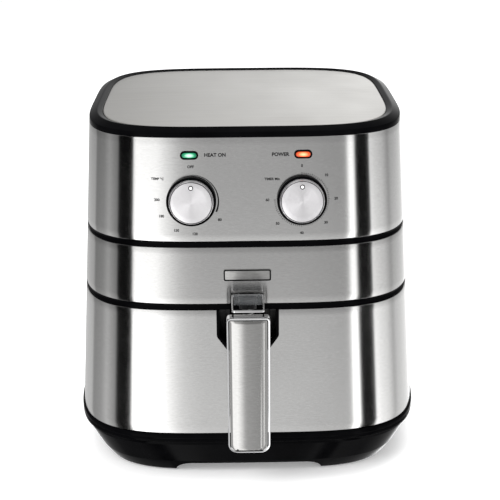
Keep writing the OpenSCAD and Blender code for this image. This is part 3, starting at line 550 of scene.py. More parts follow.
def clear_look():
    """Clear moulded plastic with a faint smoky drift."""
    look = Nodes("clear_guard")
    look.set(IOR=1.49, Alpha=0.30, Specular_IOR_Level=0.35)
    drift = look.grain(90.0, detail=2)
    look.tint(drift, (0.10, 0.105, 0.11), (0.16, 0.165, 0.17))
    look.rough(drift, 0.02, 0.08)
    return look.material


def spun():
    """Pearl metal turned on a lathe: fine rings round the object's own Z, so that light fans out from the middle."""
    look = Nodes("dial_pearl")
    look.set(Metallic=0.92, Roughness=0.30, Anisotropic=0.92, Anisotropic_Rotation=0.25)
    spot = look.add("ShaderNodeTexCoord")
    rings = look.add("ShaderNodeTexWave", wave_type="RINGS", rings_direction="Z",
                     in_Scale=420.0, in_Distortion=3.0, in_Detail=3.0)
    look.link(spot, "Object", rings, "Vector")
    look.tint(rings, (0.86, 0.845, 0.86), (0.93, 0.915, 0.93))
    look.bump(rings, 0.02, 0.00003)
    look.turned("Z")
    return look.material


LENS_GLOW = (6.8 * MM, 3.0 * MM)              # half width and height of the bright spot in a lens
PEARL = spun()
NONSTICK = nonstick()
GREEN = lens_look("lens_green", (0.0, 0.05, 0.022), (0.005, 0.24, 0.11), (0.55, 0.90, 0.70), 0.25)
ORANGE = lens_look("lens_orange", (0.16, 0.012, 0.003), (0.72, 0.085, 0.016), (1.0, 0.45, 0.22), 0.5)
CLEAR = clear_look()

# ---- The steel bands ----

SKIN = 0.8 * MM


def band(node):
    """The skin of a steel band, as high as its node."""
    z_low, z_high = low(node)[2], high(node)[2]
    edge = 0.5 * MM
    return hoop(body_section([(0, z_low, edge), (0, z_high, edge), (SKIN, z_high, 0), (SKIN, z_low, 0)], 6 * MM))


def pocket_outline():
    """The recess behind the handle, seen from the front: upright sides, then slanting ones down to its floor."""
    top = Z_LOW_GROOVE + 20 * MM
    shoulder, floor_z = Z_LOW_GROOVE - 24.5 * MM, Z_LOW_GROOVE - 37 * MM
    wide, narrow, corner = 27 * MM, 18 * MM, 3 * MM
    return fillet([(-narrow, floor_z, corner), (narrow, floor_z, corner), (wide, shoulder, corner * 2),
                   (wide, top, 0), (-wide, top, 0), (-wide, shoulder, corner * 2)], 6)


def window(index):
    """A cutter for one of the openings behind the rear louvres."""
    z_low, z_high = WINDOWS[index]
    return box_shape((-WINDOW_HALF, 0, z_low), (WINDOW_HALF, 0.3, z_high))


def half_space(front_side, y):
    """A big block in front of, or behind, a plane across the body."""
    far = 0.5
    if front_side:
        return box_shape((-far, -far, -far), (far, y, far))
    return box_shape((-far, y, -far), (far, far, far))


def steel_bands():
    """The drawer's skin, the wrap behind it, the middle band and the control panel's band."""
    skin = carve(band("drawer_skin"), half_space(False, high("drawer_skin")[1]))
    skin = carve(skin, place(slab(pocket_outline(), 0.3), facing(CY)))
    piece("drawer_band", skin, "drawer", STEEL, ["drawer_skin"])
    rear = carve(carve(band("lower_wrap"), half_space(True, SEAM_Y)), rear_bore(6.1 * MM, 48))
    piece("lower_band", rear, "housing", STEEL, ["lower_wrap"])
    for index, (name, node, look) in enumerate((("shaded_middle_steel", "middle_band", SHADED_MIDDLE_STEEL),
                                                ("panel_steel", "panel_band", STEEL))):
        piece(name, carve(band(node), window(index)), "housing", look, [node])


# ---- Gloss black rings, rim, base ----

def groove(name, node):
    """A black ring with a waist, in the groove between two bands."""
    z_low, z_high = low(node)[2], high(node)[2]
    inset, waist, depth = 1 * MM, 0.7 * MM, 4 * MM
    section = [(inset, z_low, 0), (inset, z_low + waist, 0.3 * MM), (inset + waist, (z_low + z_high) / 2, 2 * MM),
               (inset, z_high - waist, 0.3 * MM), (inset, z_high, 0),
               (inset + depth, z_high, 0), (inset + depth, z_low, 0)]
    piece(name, hoop(body_section(section)), "housing", BLACK, [node])


def rim_and_top():
    """The black rim with its rolled shoulder, and the slightly domed steel plate inside it."""
    ledge = Z_KNEE - 1.5 * MM
    seat, foot = RIM_INSET - 0.5 * MM, ledge - 3 * MM
    section = [(0, Z_RIM, 0.2 * MM), (0, Z_RIM + 4.5 * MM, 0.7 * MM), (6.4 * MM, Z_KNEE - 0.1 * MM, 1.5 * MM),
               (7.6 * MM, Z_KNEE - 0.4 * MM, 0.5 * MM), (RIM_INSET - 1.2 * MM, ledge, 0.3 * MM),
               (seat, ledge - 0.7 * MM, 0), (seat, foot, 0), (RIM_INSET + 6 * MM, foot, 0),
               (RIM_INSET + 6 * MM, Z_RIM, 0)]
    piece("top_rim_black", hoop(body_section(section)), "housing", BLACK, ["top_rim"])
    edge, under = high("top_plate")[0], low("top_plate")[2]
    turn_in = 0.9 * MM                        # radius of the plate's rolled edge
    section = [(edge - 0.4 * MM, under), (edge, under + 0.5 * MM), (edge, ledge - turn_in)]
    section += [(edge - turn_in * (1 - math.cos(t)), ledge - turn_in * (1 - math.sin(t))) for t in quarter(5, 1)]
    for share in (0.01, 0.02, 0.04, 0.08, 0.14, 0.22, 0.32, 0.44, 0.58, 0.74, 0.9, 0.985):
        section.append(((edge - turn_in) * (1 - share), ledge + (Z_TOP - ledge) * (1 - (1 - share) ** 3)))
    piece("top_plate_steel", hoop(section, closed=False), "housing", TOP_STEEL, ["top_plate"], smooth=50)


def arch(half, length):
    """The opening between two feet, lying along Y, with elliptic shoulders."""
    foot, rise, run = 1.2 * MM, 9 * MM, 15 * MM
    steps = [math.radians(a) for a in range(0, 91, 6)]
    right = [Vector((half - run * (1 - math.cos(t)), foot + rise * math.sin(t))) for t in steps]
    left = [Vector((-p.x, p.y)) for p in reversed(right)]
    outline = [Vector((-half, -foot)), Vector((half, -foot))] + right + left
    return place(slab(outline, length), facing(CY + length / 2))


def base():
    """The black skirt with its bead and arches, the slotted floor and the four rubber pads."""
    top = Z_BASE
    bead = (high("base_tray")[0] - LOW_HALF) / MM
    foot = 1.2 * MM
    profile = [(19.5, foot, 1.5), (12, foot + 12 * MM, 6), (1.4, top - 11.5 * MM, 2), (0.6, top - 8.6 * MM, 0.5),
               (-bead + 0.2, top - 7.8 * MM, 0.5), (-bead, top - 5.6 * MM, 0.8), (-bead + 0.35, top - 4.6 * MM, 0.3),
               (-bead, top - 3.8 * MM, 0.5), (-bead, top - 1.4 * MM, 0.7), (-0.5, top, 0.4), (3, top, 0),
               (4, top - 10 * MM, 0), (22.5, foot, 0)]       # inset in mm, z, radius in mm
    section = fillet([(inset * MM, z, radius * MM) for inset, z, radius in profile])
    shape = carve(hoop([(LOW_HALF - p.x, p.y) for p in section]), arch(66 * MM, 0.5))
    sideways = Matrix.Translation((0, CY, 0)) @ Matrix.Rotation(math.pi / 2, 4, "Z") @ Matrix.Translation((0, -CY, 0))
    shape = carve(shape, place(arch(62 * MM, 0.5), sideways))
    piece("base_skirt", shape, "housing", BLACK, ["base_tray"])
    z_floor, thick = 12 * MM, 3 * MM
    half = LOW_HALF - 15.2 * MM
    slots = [rounded_block((12 * k * MM - 2.5 * MM, CY - 45 * MM, z_floor - MM),
                           (12 * k * MM + 2.5 * MM, CY + 45 * MM, z_floor + thick + MM), 2.4 * MM, 0)
             for k in range(-5, 6)]
    plate = carve(hoop([(half, z_floor), (half, z_floor + thick)], closed=False), joined(*slots))
    bore, boss, z_low, z_high = 4.4 * MM, 13 * MM, 2.7 * MM, z_floor + 0.2 * MM
    tube = [(bore, z_low), (boss, z_low), (boss, z_high), (bore, z_high)]
    ring = fillet([(4 * MM, 0, 0.4 * MM), (PAD, 0, 0.8 * MM), (PAD, 4 * MM, 0), (4 * MM, 4 * MM, 0)])
    centres = [Matrix.Translation(c) for c in pad_centres()]
    bosses = [place(lathe(tube, 64, closed=True), at) for at in centres]
    piece("base_floor", joined(plate, *bosses), "housing", SATIN_BLACK)
    pads = [place(lathe([tuple(p) for p in ring], 64, closed=True), at) for at in centres]
    piece("rubber_pads", joined(*pads), "housing", RUBBER, ["foot_pads"])


PAD = 10 * MM                                 # radius of a foot pad


def pad_centres():
    """The middle of each foot pad, on the table."""
    a, b = low("foot_pads"), high("foot_pads")
    return [(x, y, 0) for x in (a[0] + PAD, b[0] - PAD) for y in (a[1] + PAD, b[1] - PAD)]


# ---- Prints on the panel ----

PRINT = 0.06 * MM


def wrap(shape, x, z):
    """Bends a flat shape, drawn about its own centre, onto the panel's face at x, z."""
    for vert in shape.verts:
        u, v, out = vert.co
        up = z + v * math.cos(LEAN)
        vert.co = (x + u, front(x + u, up) - out, up)
    return shape


def lettering(text, height):
    """Flat letters of that height, centred on the origin."""
    curve = bpy.data.curves.new("text", "FONT")
    curve.body = text
    curve.size = height / 0.7                 # a capital is 0.7 of the font's size
    curve.align_x = curve.align_y = "CENTER"
    curve.extrude = PRINT / 2
    curve.offset = height * 0.055
    curve.resolution_u = 3
    thing = new_object("text", curve)
    shape = bmesh.new()
    shape.from_mesh(thing.evaluated_get(bpy.context.evaluated_depsgraph_get()).to_mesh())
    bmesh.ops.remove_doubles(shape, verts=shape.verts, dist=1e-7)
    bpy.data.objects.remove(thing)
    bpy.data.curves.remove(curve)
    return place(shape, Matrix.Translation((0, 0, PRINT / 2)))


def clock(degrees, radius):
    """A point at an angle clockwise from the top."""
    turn = math.radians(degrees)
    return Vector((radius * math.sin(turn), radius * math.cos(turn)))


def strip(inner, outer):
    """A thin flat strip between two rows of points."""
    return slab(inner + list(reversed(outer)), PRINT)


def crescent(start, end, radius, thin, thick):
    """A band round the dial that grows from thin to thick."""
    steps = 48
    angles = [start + (end - start) * k / steps for k in range(steps + 1)]
    outer = [clock(a, radius + thin + (thick - thin) * k / steps) for k, a in enumerate(angles)]
    return strip(outer, [clock(a, radius) for a in angles])


def tick(degrees, radius, length, width):
    """A mark that points away from the dial."""
    centre = Matrix.Translation((*clock(degrees, radius + length / 2), 0))
    turn = Matrix.Rotation(-math.radians(degrees), 4, "Z")
    return place(slab(rectangle(width, length, 0), PRINT), centre @ turn)


NUMERAL_RADIUS = 29 * MM
NUMERAL_HEIGHT, UNIT_HEIGHT, LABEL_HEIGHT = 2.2 * MM, 2.0 * MM, 2.9 * MM
SWEEP = 270                                   # degrees, from the timer's 0 to its 60


def prints():
    """The numbers round the dials, their scales, and the labels of dials and lamps."""
    dial_x, _, dial_z = JOINTS["timer_turn"]["pos_m"]
    lamp_z = middle("lamp_bezels")[2]
    settings = [("OFF", 0), ("80", 125), ("120", 175), ("150", 207), ("180", 242), ("200", 271)]
    wedge = [crescent(2, 115, 22.2 * MM, 0.15 * MM, 1.5 * MM)]
    minutes = [(str(10 * k), SWEEP * k / 6) for k in range(7)]
    ticks = [tick(SWEEP * k / 60, 21.9 * MM, (1.7 if k % 5 == 0 else 1.3) * MM, 0.5 * MM) for k in range(61)]
    for name, x, marks, flat in (("temperature_print", -dial_x, settings, wedge),
                                 ("timer_print", dial_x, minutes, ticks)):
        for text, angle in marks:
            at = Matrix.Translation((*clock(angle, NUMERAL_RADIUS), 0))
            flat.append(place(lettering(text, NUMERAL_HEIGHT), at))
        piece(name, wrap(joined(*flat), x, dial_z), "housing", INK_AND_REFLECTION)
    labels = [("TEMP °C", -74.5 * MM, dial_z + 18.5 * MM, UNIT_HEIGHT),
              ("TIMER Min", 21.5 * MM, dial_z + 18 * MM, UNIT_HEIGHT),
              ("HEAT ON", -26 * MM, lamp_z, LABEL_HEIGHT), ("POWER", 28.5 * MM, lamp_z, LABEL_HEIGHT)]
    shapes = [wrap(lettering(text, height), x, z) for text, x, z, height in labels]
    piece("panel_labels", joined(*shapes), "housing", INK_AND_REFLECTION)


# ---- Dials ----

def dial(name, joint, knob_node, body):
    """A black ring at the cap's foot that stands for the shadow in the gap there (painted shade), a pearl cap with a
    dark ring in the groove at its face's edge (a painted reflection of that bevel), and a white dot near its edge.
    """
    x, _, z = JOINTS[joint]["pos_m"]
    at = on_panel(x, z)
    radius = (high(knob_node)[0] - low(knob_node)[0]) / 2
    reach = 9 * MM
    face = radius - 3.6 * MM
    # The black ring round the cap's foot is painted shade: it stands for the shadow in the gap there.
    ring = fillet([(radius - 3.1 * MM, 1.1 * MM, 0), (radius, 1.1 * MM, 0.3 * MM), (radius, 4.3 * MM, 0.5 * MM),
                   (radius - 1.8 * MM, 4.8 * MM, 0.3 * MM), (radius - 3.1 * MM, 4.8 * MM, 0)])
    piece(name + "_ring", lathe([tuple(p) for p in ring], closed=True), body, BLACK, at=at)
    side = radius - 2.1 * MM
    lip = reach - 0.5 * MM
    cap = fillet([(0, reach - 3 * MM, 0), (face - 2 * MM, reach - 3 * MM, 0), (side - 1 * MM, 1.6 * MM, 0),
                  (side, 1.6 * MM, 0), (side, 5.4 * MM, 0.8 * MM), (face + 0.75 * MM, lip - 0.1 * MM, 0.3 * MM),
                  (face + 0.5 * MM, lip, 0), (face + 0.5 * MM, lip - 0.6 * MM, 0),
                  (face - 0.05 * MM, lip - 0.6 * MM, 0), (face - 0.05 * MM, lip, 0.2 * MM),
                  (face - 4 * MM, reach - 0.3 * MM, 3 * MM), (0, reach - 0.25 * MM, 0)], 5)
    cap = lathe([tuple(p) for p in cap[:-1]] + [(0, reach - 0.25 * MM)], 160)
    piece(name + "_cap", cap, body, PEARL, [knob_node], at=at, smooth=28)
    # Painted reflection: a dark ring in the groove at the face's edge, standing for the dark the bevel there mirrors.
    reflection_low, reflection_high, reflection_out = lip - 0.55 * MM, lip + 0.1 * MM, face + 0.45 * MM
    reflection_ring = [(face, reflection_low), (reflection_out, reflection_low), (reflection_out, reflection_high), (face, reflection_high)]
    piece(name + "_reflection_ring", lathe(reflection_ring, 128, closed=True), body, INK_AND_REFLECTION, at=at)
    spot = Matrix.Translation((0, face - 4.6 * MM, reach - 0.42 * MM))
    rim = [tuple(p) for p in fillet([(1.3 * MM, 0, 0), (2.05 * MM, 0, 0), (2.05 * MM, 0.34 * MM, 0.1 * MM),
                                     (1.3 * MM, 0.3 * MM, 0.1 * MM)], 3)]
    piece(name + "_spot_rim", place(lathe(rim, 48, closed=True), spot), body, INK_AND_REFLECTION, at=at)
    pip = [(0, 0), (1.28 * MM, 0), (1.25 * MM, 0.3 * MM), (0.9 * MM, 0.36 * MM), (0, 0.38 * MM)]
    piece(name + "_spot", place(lathe(pip, 48), spot), body, DOT_WHITE, at=at)


# ---- Lamps and badge ----

def lamps():
    """Two coloured lenses with domed faces, each in a black surround."""
    x, z = middle("power_lamp_lens")[0], middle("lamp_bezels")[2]
    length, height, rise, deep = 14 * MM, 6 * MM, 0.7 * MM, -3.5 * MM
    bezels = []
    for side, name, node, look, slot in ((-1, "heat_lamp", "heat_lamp_lens", GREEN, "lens_green"),
                                         (1, "power_lamp", "power_lamp_lens", ORANGE, "lens_orange")):
        at = on_panel(side * x, z)
        outer, inner = [rectangle(length + grow, height + grow, (height + grow) / 2, 10)
                        for grow in (1.2 * MM, -1.5 * MM)]
        ring = [(outer, 0), (outer, rise - 0.25 * MM), (offset(outer, -0.1 * MM), rise - 0.07 * MM),
                (offset(outer, -0.3 * MM), rise), (offset(inner, 0.35 * MM), rise),
                (offset(inner, 0.08 * MM), rise - 0.1 * MM), (inner, rise - 0.35 * MM), (inner, deep),
                (offset(inner, 0.5 * MM), deep), (offset(inner, 0.5 * MM), 0)]
        bezels.append(place(stepped(ring, True), at))
        side_wall = offset(inner, -0.06 * MM)
        glass = [(side_wall, -3 * MM), (side_wall, 0.35 * MM)]
        glass += [(offset(inner, -0.06 * MM - 1.5 * MM * (1 - math.cos(t))), 0.35 * MM + 1.0 * MM * math.sin(t))
                  for t in quarter(6, 1)]
        piece(name, stepped(glass), "housing", look, [node], at=at)
    piece("lamp_surrounds", joined(*bezels), "housing", BLACK, ["lamp_bezels"])


def badge():
    """A blank plate with a printed border."""
    width, height = high("badge")[0] - low("badge")[0], 10.5 * MM
    at = on_panel(0, middle("badge")[2], 0.05 * MM)
    plate = slab(rectangle(width, height, 1.6 * MM), 0.55 * MM, 0.15 * MM)
    piece("badge_plate", place(plate, at), "housing", BADGE, ["badge"])
    outline = rectangle(width - 0.4 * MM, height - 0.4 * MM, 1.5 * MM)
    inside = rectangle(width - 2.9 * MM, height - 2.9 * MM, 0.7 * MM)
    foot, top = 0.5 * MM, 0.66 * MM
    border = stepped([(outline, foot), (outline, top), (inside, top), (inside, foot)], True)
    piece("badge_border", place(border, at), "housing", INK_AND_REFLECTION)


# ---- Handle ----

def grip_outline(inset):
    """The grip seen from the front, with round lower corners, drawn inward by a distance."""
    half = high("handle_trim")[0] - inset
    bottom, top = low("handle_trim")[2] + inset, high("handle_trim")[2] - inset
    round_low, round_high = max(0.8 * MM, 8 * MM - inset), max(0.5 * MM, 3 * MM - inset)
    return fillet([(-half, bottom, round_low), (half, bottom, round_low), (half, top, round_high),
                   (-half, top, round_high)], 8)


def handle():
    """The bright trim round the grip and the crowned steel face inside it."""
    trim_front, trim_back = low("handle_trim")[1], high("handle_trim")[1]
    depth = trim_back - trim_front
    wall, bevel = 1.3 * MM, 0.5 * MM
    ring = [(grip_outline(0), 0), (grip_outline(0), depth - 0.9 * MM), (grip_outline(0.25 * MM), depth - 0.3 * MM),
            (grip_outline(bevel + 0.1 * MM), depth), (grip_outline(wall), depth - 0.15 * MM),
            (grip_outline(wall + 0.1 * MM), depth - 1 * MM), (grip_outline(wall + 0.1 * MM), 0)]
    piece("grip_trim", place(stepped(ring, True), facing(trim_back)), "drawer", CHROME, ["handle_trim"])
    face_front, face_back = low("handle_face")[1], high("handle_face")[1]
    thick = face_back - face_front
    gap = wall + 0.9 * MM
    levels = [(0.2, -0.6 * MM), (0, -0.2 * MM), (0, thick - 1.35 * MM), (0.15, thick - 1.1 * MM),
              (1.9, thick - 0.12 * MM), (2.2, thick - 0.02 * MM), (2.6, thick)]     # inset in mm, z
    shape = place(stepped([(grip_outline(gap + inset * MM), z) for inset, z in levels]), facing(face_back))
    half = high("handle_trim")[0]
    for k in range(-14, 15):
        cut = dict(plane_co=(k * MM, 0, 0), plane_no=(1, 0, 0))
        bmesh.ops.bisect_plane(shape, geom=shape.verts[:] + shape.edges[:] + shape.faces[:], **cut)
    for vert in shape.verts:
        vert.co.y += GRIP_CROWN * (vert.co.x / half) ** 2 * min(1, max(0, (face_back - vert.co.y) / thick))
    bmesh.ops.recalc_face_normals(shape, faces=shape.faces)
    piece("grip_face", shape, "drawer", SHADED_HANDLE_STEEL, ["handle_face"], smooth=24)


def neck():
    """The handle's black core: the neck over the drawer, the grip's body and the bracket behind the drawer front.

    Known fault: the finished shape holds only the wedge under the neck and the bracket. The grip's body and the
    top of the neck are missing from it.
    """
    half, top, depth = NECK_WIDTH / 2, high("handle_core")[2], 18.4 * MM
    grip_front = high("handle_face")[1]
    grip_back = grip_front + depth
    outline = grip_outline(1.45 * MM)
    levels = [(offset(outline, -1.6 * MM), 0), (offset(outline, -0.5 * MM), 0.5 * MM), (outline, 1.7 * MM),
              (outline, depth)]
    shape = place(stepped(levels), facing(grip_back))
    neck_back = high("guard_bezel")[1] + 1.2 * MM
    over = rounded_block((-half, grip_front + 1.0 * MM, top - 22 * MM), (half, neck_back, top), 1.6 * MM, 1.2 * MM, 5)
    shape = carve(shape, over, "UNION")
    root = bmesh.new()
    points = [(grip_back - MM, top - 34 * MM), (grip_back - MM, top - 20 * MM), (grip_back + 12 * MM, top - 20 * MM),
              (grip_back + 11 * MM, top - 22 * MM)]
    left = [root.verts.new((-half + 0.4 * MM, y, z)) for y, z in points]
    right = [root.verts.new((half - 0.4 * MM, y, z)) for y, z in points]
    root.faces.new(left)
    root.faces.new(list(reversed(right)))
    for i in range(4):
        j = (i + 1) % 4
        root.faces.new((left[j], left[i], right[i], right[j]))
    bmesh.ops.recalc_face_normals(root, faces=root.faces)
    shape = carve(shape, root, "UNION")
    bracket_low = top - 46 * MM
    leg = rounded_block((-half, neck_back - 10 * MM, bracket_low), (half, high("handle_core")[1], top - 20 * MM),
                        1 * MM, 0.6 * MM)
    shape = carve(shape, leg, "UNION")
    a, b = low("release_button"), high("release_button")
    air = 0.3 * MM
    well = rounded_block((a[0] - air, a[1] - air, b[2] - 14.4 * MM), (b[0] + air, b[1] + air, top + 9 * MM),
                         3.2 * MM, 0)
    shape = carve(shape, well)
    slot = box_shape((-4 * MM, a[1], bracket_low - MM), (4 * MM, high("handle_core")[1] - 2 * MM, b[2] - 17 * MM))
    shape = carve(shape, slot)
    piece("handle_body", shape, "drawer", BLACK, ["handle_core"], smooth=32)


def foot_of(node):
    """A move to the middle of the node's underside."""
    x, y, _ = middle(node)
    return Matrix.Translation((x, y, low(node)[2]))


def guard():
    """The bright frame on the neck and the clear guard that slides in it."""
    a, b = low("guard_bezel"), high("guard_bezel")
    width, length, height = (b[i] - a[i] for i in range(3))
    outer, inner = rectangle(width, length, 2.5 * MM), rectangle(width - 2.8 * MM, length - 2.8 * MM, 1.5 * MM)
    ring = [(outer, 0), (outer, height - 0.6 * MM), (offset(outer, -0.18 * MM), height - 0.18 * MM),
            (offset(outer, -0.6 * MM), height), (offset(inner, 0.5 * MM), height),
            (offset(inner, 0.12 * MM), height - 0.15 * MM), (inner, height - 0.5 * MM), (inner, 0)]
    shape = place(stepped(ring, True), foot_of("guard_bezel"))
    piece("guard_frame", shape, "drawer", CHROME, ["guard_bezel"])
    a, b = low("button_guard"), high("button_guard")
    wall = 1 * MM
    hollow = rounded_block((a[0] + wall, a[1] + wall, a[2] - MM), (b[0] - wall, b[1] - wall, b[2] - wall), 1 * MM, 0)
    opening = box_shape((-8.5 * MM, b[1] - 4 * MM, a[2] - MM), (8.5 * MM, b[1] + MM, b[2] - wall))
    shell = carve(carve(rounded_block(a, b, 1.4 * MM, 0.5 * MM), hollow), opening)
    piece("sliding_guard", shell, "guard", CLEAR, ["button_guard"])


def button():
    """The release button: a dished cap, hollow over its spring, on a stem."""
    a, b = low("release_button"), high("release_button")
    depth = 7 * MM
    outline = rectangle(b[0] - a[0], b[1] - a[1], 3 * MM, 8)
    levels = [(outline, 0), (outline, depth - 1.2 * MM), (offset(outline, -0.35 * MM), depth - 0.4 * MM),
              (offset(outline, -1.2 * MM), depth), (offset(outline, -2.2 * MM), depth - 0.15 * MM),
              (offset(outline, -3.6 * MM), depth - 0.5 * MM)]
    under = b[2] - depth - a[2]               # the cap's underside above the foot of the stem
    room = 3.3 * MM                           # the button's stroke and a little air, so that its spring stays clear
    coil = (high("button_spring")[0] - low("button_spring")[0]) / 2 + 0.3 * MM
    cap = carve(place(stepped(levels), Matrix.Translation((0, 0, under))), rod(coil, under - MM, under + room, 48))
    end = under + room + 0.5 * MM
    stem = lathe([(0, 0), (1.6 * MM, 0), (2.2 * MM, 0.6 * MM), (2.2 * MM, end), (0, end)], 32)
    shape = place(joined(cap, stem), foot_of("release_button"))
    piece("button_cap", shape, "release_button", BUTTON, ["release_button"])


# ---- Pan and basket ----

PAN_RATIO = 0.91


FLANGE, ROLL = 6 * MM, 2 * MM                 # how far a tub's flange stands out, and how thick it is


def tub_place(node):
    """The half width of a tub's mouth inside its flange, and the y of its centre."""
    half = high(node)[0] - FLANGE
    return half, high(node)[1] - (half + FLANGE) * PAN_RATIO


def tub(half, slope, z0, z1, wall, y):
    """A shell: up the outside from the floor, over the rolled flange, and down the inside."""
    bottom = half - slope
    section = fillet([(bottom - 12 * MM, z0, 0), (bottom, z0, 6 * MM), (half, z1 - ROLL, 1.2 * MM),
                      (half + FLANGE, z1 - ROLL, 0.7 * MM), (half + FLANGE, z1, 0.9 * MM),
                      (half - wall, z1, 1.4 * MM), (bottom - wall, z0 + wall, 5 * MM),
                      (bottom - 12 * MM, z0 + wall, 0)], 5)
    return hoop([tuple(p) for p in section], PAN_RATIO, PAN_SQUARENESS, y, 240)


def floor_disc(half, z, thick, y):
    """The flat middle of a tub's floor."""
    return hoop([(half, z), (half, z + thick)], PAN_RATIO, PAN_SQUARENESS, y, 240, closed=False)


def pan():
    """The pan, open at the front where the handle's bracket reaches in."""
    half, y = tub_place("pan")
    z0, z1 = low("pan")[2], high("pan")[2]
    slope, wall, wide = 8 * MM, 1.2 * MM, 20 * MM
    shape = tub(half, slope, z0, z1, wall, y)
    shape = carve(shape, floor_disc(half - slope - 11.5 * MM, z0, wall, y), "UNION")
    basket_half, basket_y = tub_place("basket")
    gap_back = basket_y - basket_half * PAN_RATIO + 6 * MM
    shape = carve(shape, box_shape((-wide, -0.3, Z_LOW_GROOVE - 37 * MM), (wide, gap_back, 0.4)))
    piece("pan_shell", shape, "drawer", NONSTICK, ["pan"])


def basket():
    """The basket: slots round its wall and staggered holes in its floor."""
    half, y = tub_place("basket")
    z0, z1 = low("basket")[2], high("basket")[2]
    slope, wall, pitch = 5 * MM, 1.1 * MM, 15 * MM
    reach = half - 10.9 * MM - pitch
    holes = []
    for i in range(-6, 7):
        for j in range(-6, 7):
            x, v = (i + (0.5 if j % 2 else 0)) * pitch, j * pitch * 0.87
            if abs(x / reach) ** 4 + abs(v / (reach * PAN_RATIO)) ** 4 < 1:
                holes.append(place(rod(3.5 * MM, -MM, 3 * MM, 24), Matrix.Translation((x, y + v, z0))))
    plate = carve(floor_disc(half - slope - 11.5 * MM, z0, wall, y), joined(*holes))
    z_low, z_high = z0 + 10 * MM, z0 + 34 * MM
    slots = []

    def slot(x0, x1, y0, y1):
        slots.append(rounded_block((x0, y0, z_low), (x1, y1, z_high), 1.9 * MM, 0))

    for k in range(-4, 5):
        v = y + 15 * k * MM
        for side in (-1, 1):
            slot(side * half - 14 * MM, side * half + 14 * MM, v - 2 * MM, v + 2 * MM)
    for k in range(-5, 6):
        slot(15 * k * MM - 2 * MM, 15 * k * MM + 2 * MM, y + 50 * MM, y + 140 * MM)
    shape = carve(tub(half, slope, z0, z1, wall, y), joined(*slots))
    piece("basket_wall", shape, "drawer", NONSTICK, ["basket"])
    piece("basket_floor", plate, "drawer", NONSTICK)


# ---- Rear cover ----

def rear_cover():
    """The plain cover at the back: proud of the bands, hollow, with louvres and a bore for the gland."""
    a, b = low("rear_cover"), high("rear_cover")
    proud, wall = 9 * MM, 2.5 * MM
    outside = hoop(body_section([(-proud, a[2], 2 * MM), (-proud, b[2], 2 * MM), (0, b[2], 0), (0, a[2], 0)]))
    shape = carve(outside, rounded_block((a[0], 0, a[2] - MM), (b[0], 0.4, b[2] + MM), 0.5 * MM, 0), "INTERSECT")
    z_low, z_high, back = a[2] + wall, b[2] - wall, -proud + wall
    inside = hoop(body_section([(back, z_low, 0), (back, z_high, 0), (2 * MM, z_high, 0), (2 * MM, z_low, 0)]))
    inside = carve(inside, box_shape((a[0] + wall, 0, 0), (b[0] - wall, 0.4, 0.4)), "INTERSECT")
    shape = carve(shape, inside)
    bars = []
    for z0, z1 in WINDOWS:
        z = z0 + 3 * MM
        while z < z1 - 4 * MM:
            at = Matrix.Translation((0, 0.4, z + 1.5 * MM)) @ Matrix.Rotation(math.pi / 2, 4, "X")
            bars.append(place(slab(rectangle(76 * MM, 3 * MM, 1.4 * MM), 0.3), at))
            z += 6 * MM
    shape = carve(carve(shape, joined(*bars)), rear_bore(7 * MM, 64))
    piece("back_cover", shape, "housing", SATIN_BLACK, ["rear_cover"], smooth=30)


# ---- CAD parts that keep their shape ----

CAD_LOOKS = (
    (CARCASS, ("lower_housing", "middle_housing", "panel_housing")),
    (BRIGHT, ("case_screws", "splash_guard", "shield_spacers", "motor_bearings", "motor_shaft", "fan_nut",
              "timer_bell", "temperature_spindle", "timer_spindle", "handle_screws", "button_spring")),
    (SATIN_BLACK, ("cord_gland", "cooling_fan", "drawer_switch")),
    (ZINC, ("cavity_liner", "slide_rails", "chassis_deck", "heater_dome", "element_clips", "exhaust_duct",
            "heat_shield", "motor_can", "motor_bracket", "convection_fan", "latch_lever")),
    (ELEMENT, ("heating_element",)),
    (CREAM, ("thermostat", "timer", "neon_lamps", "terminal_block")),
    (COPPER, ("sensor_bulb",)),
    (BLACK, ("drawer_frame",)),
)


def dress():
    """Gives every CAD part that stays in view its material."""
    for material, nodes in CAD_LOOKS:
        for node in nodes:
            thing = frame["nodes"][node]
            if not thing.material_slots:
                thing.data.materials.append(None)
            for slot in thing.material_slots:
                slot.material = material


# ---- Camera, light, floor ----

CAMERA_AT = (-0.0112, -1.121 + CY, 0.559)
CAMERA_TURNS = [math.radians(a) for a in (0.8, 19.3, -0.44)]      # yaw, pitch down, roll
LENS, SENSOR = 88, 36


def camera():
    """The view from the front, a little above."""
    data = bpy.data.cameras.new("camera")
    data.lens = LENS
    data.sensor_width = SENSOR
    thing = new_object("camera", data)
    yaw, pitch, roll = CAMERA_TURNS
    ahead = Vector((math.sin(yaw) * math.cos(pitch), math.cos(yaw) * math.cos(pitch), -math.sin(pitch)))
    look = ahead.to_track_quat("-Z", "Y").to_matrix().to_4x4()
    thing.matrix_world = Matrix.Translation(CAMERA_AT) @ look @ Matrix.Rotation(roll, 4, "Z")
    bpy.context.scene.camera = thing


def floor():
    """A pale, slightly glowing ground that the steel does not mirror."""
    shape = bmesh.new()
    bmesh.ops.create_grid(shape, x_segments=4, y_segments=4, size=3)
    look = Nodes("floor")
    look.tint(look.grain(3.0, detail=2), (0.90, 0.90, 0.90), (0.94, 0.94, 0.94))
    look.set(Roughness=0.9, Emission_Color=(1, 1, 1, 1), Emission_Strength=0.22)
    thing = new_object("floor", mesh_of(shape, "floor"))
    thing.data.materials.append(look.material)
    thing.visible_glossy = False


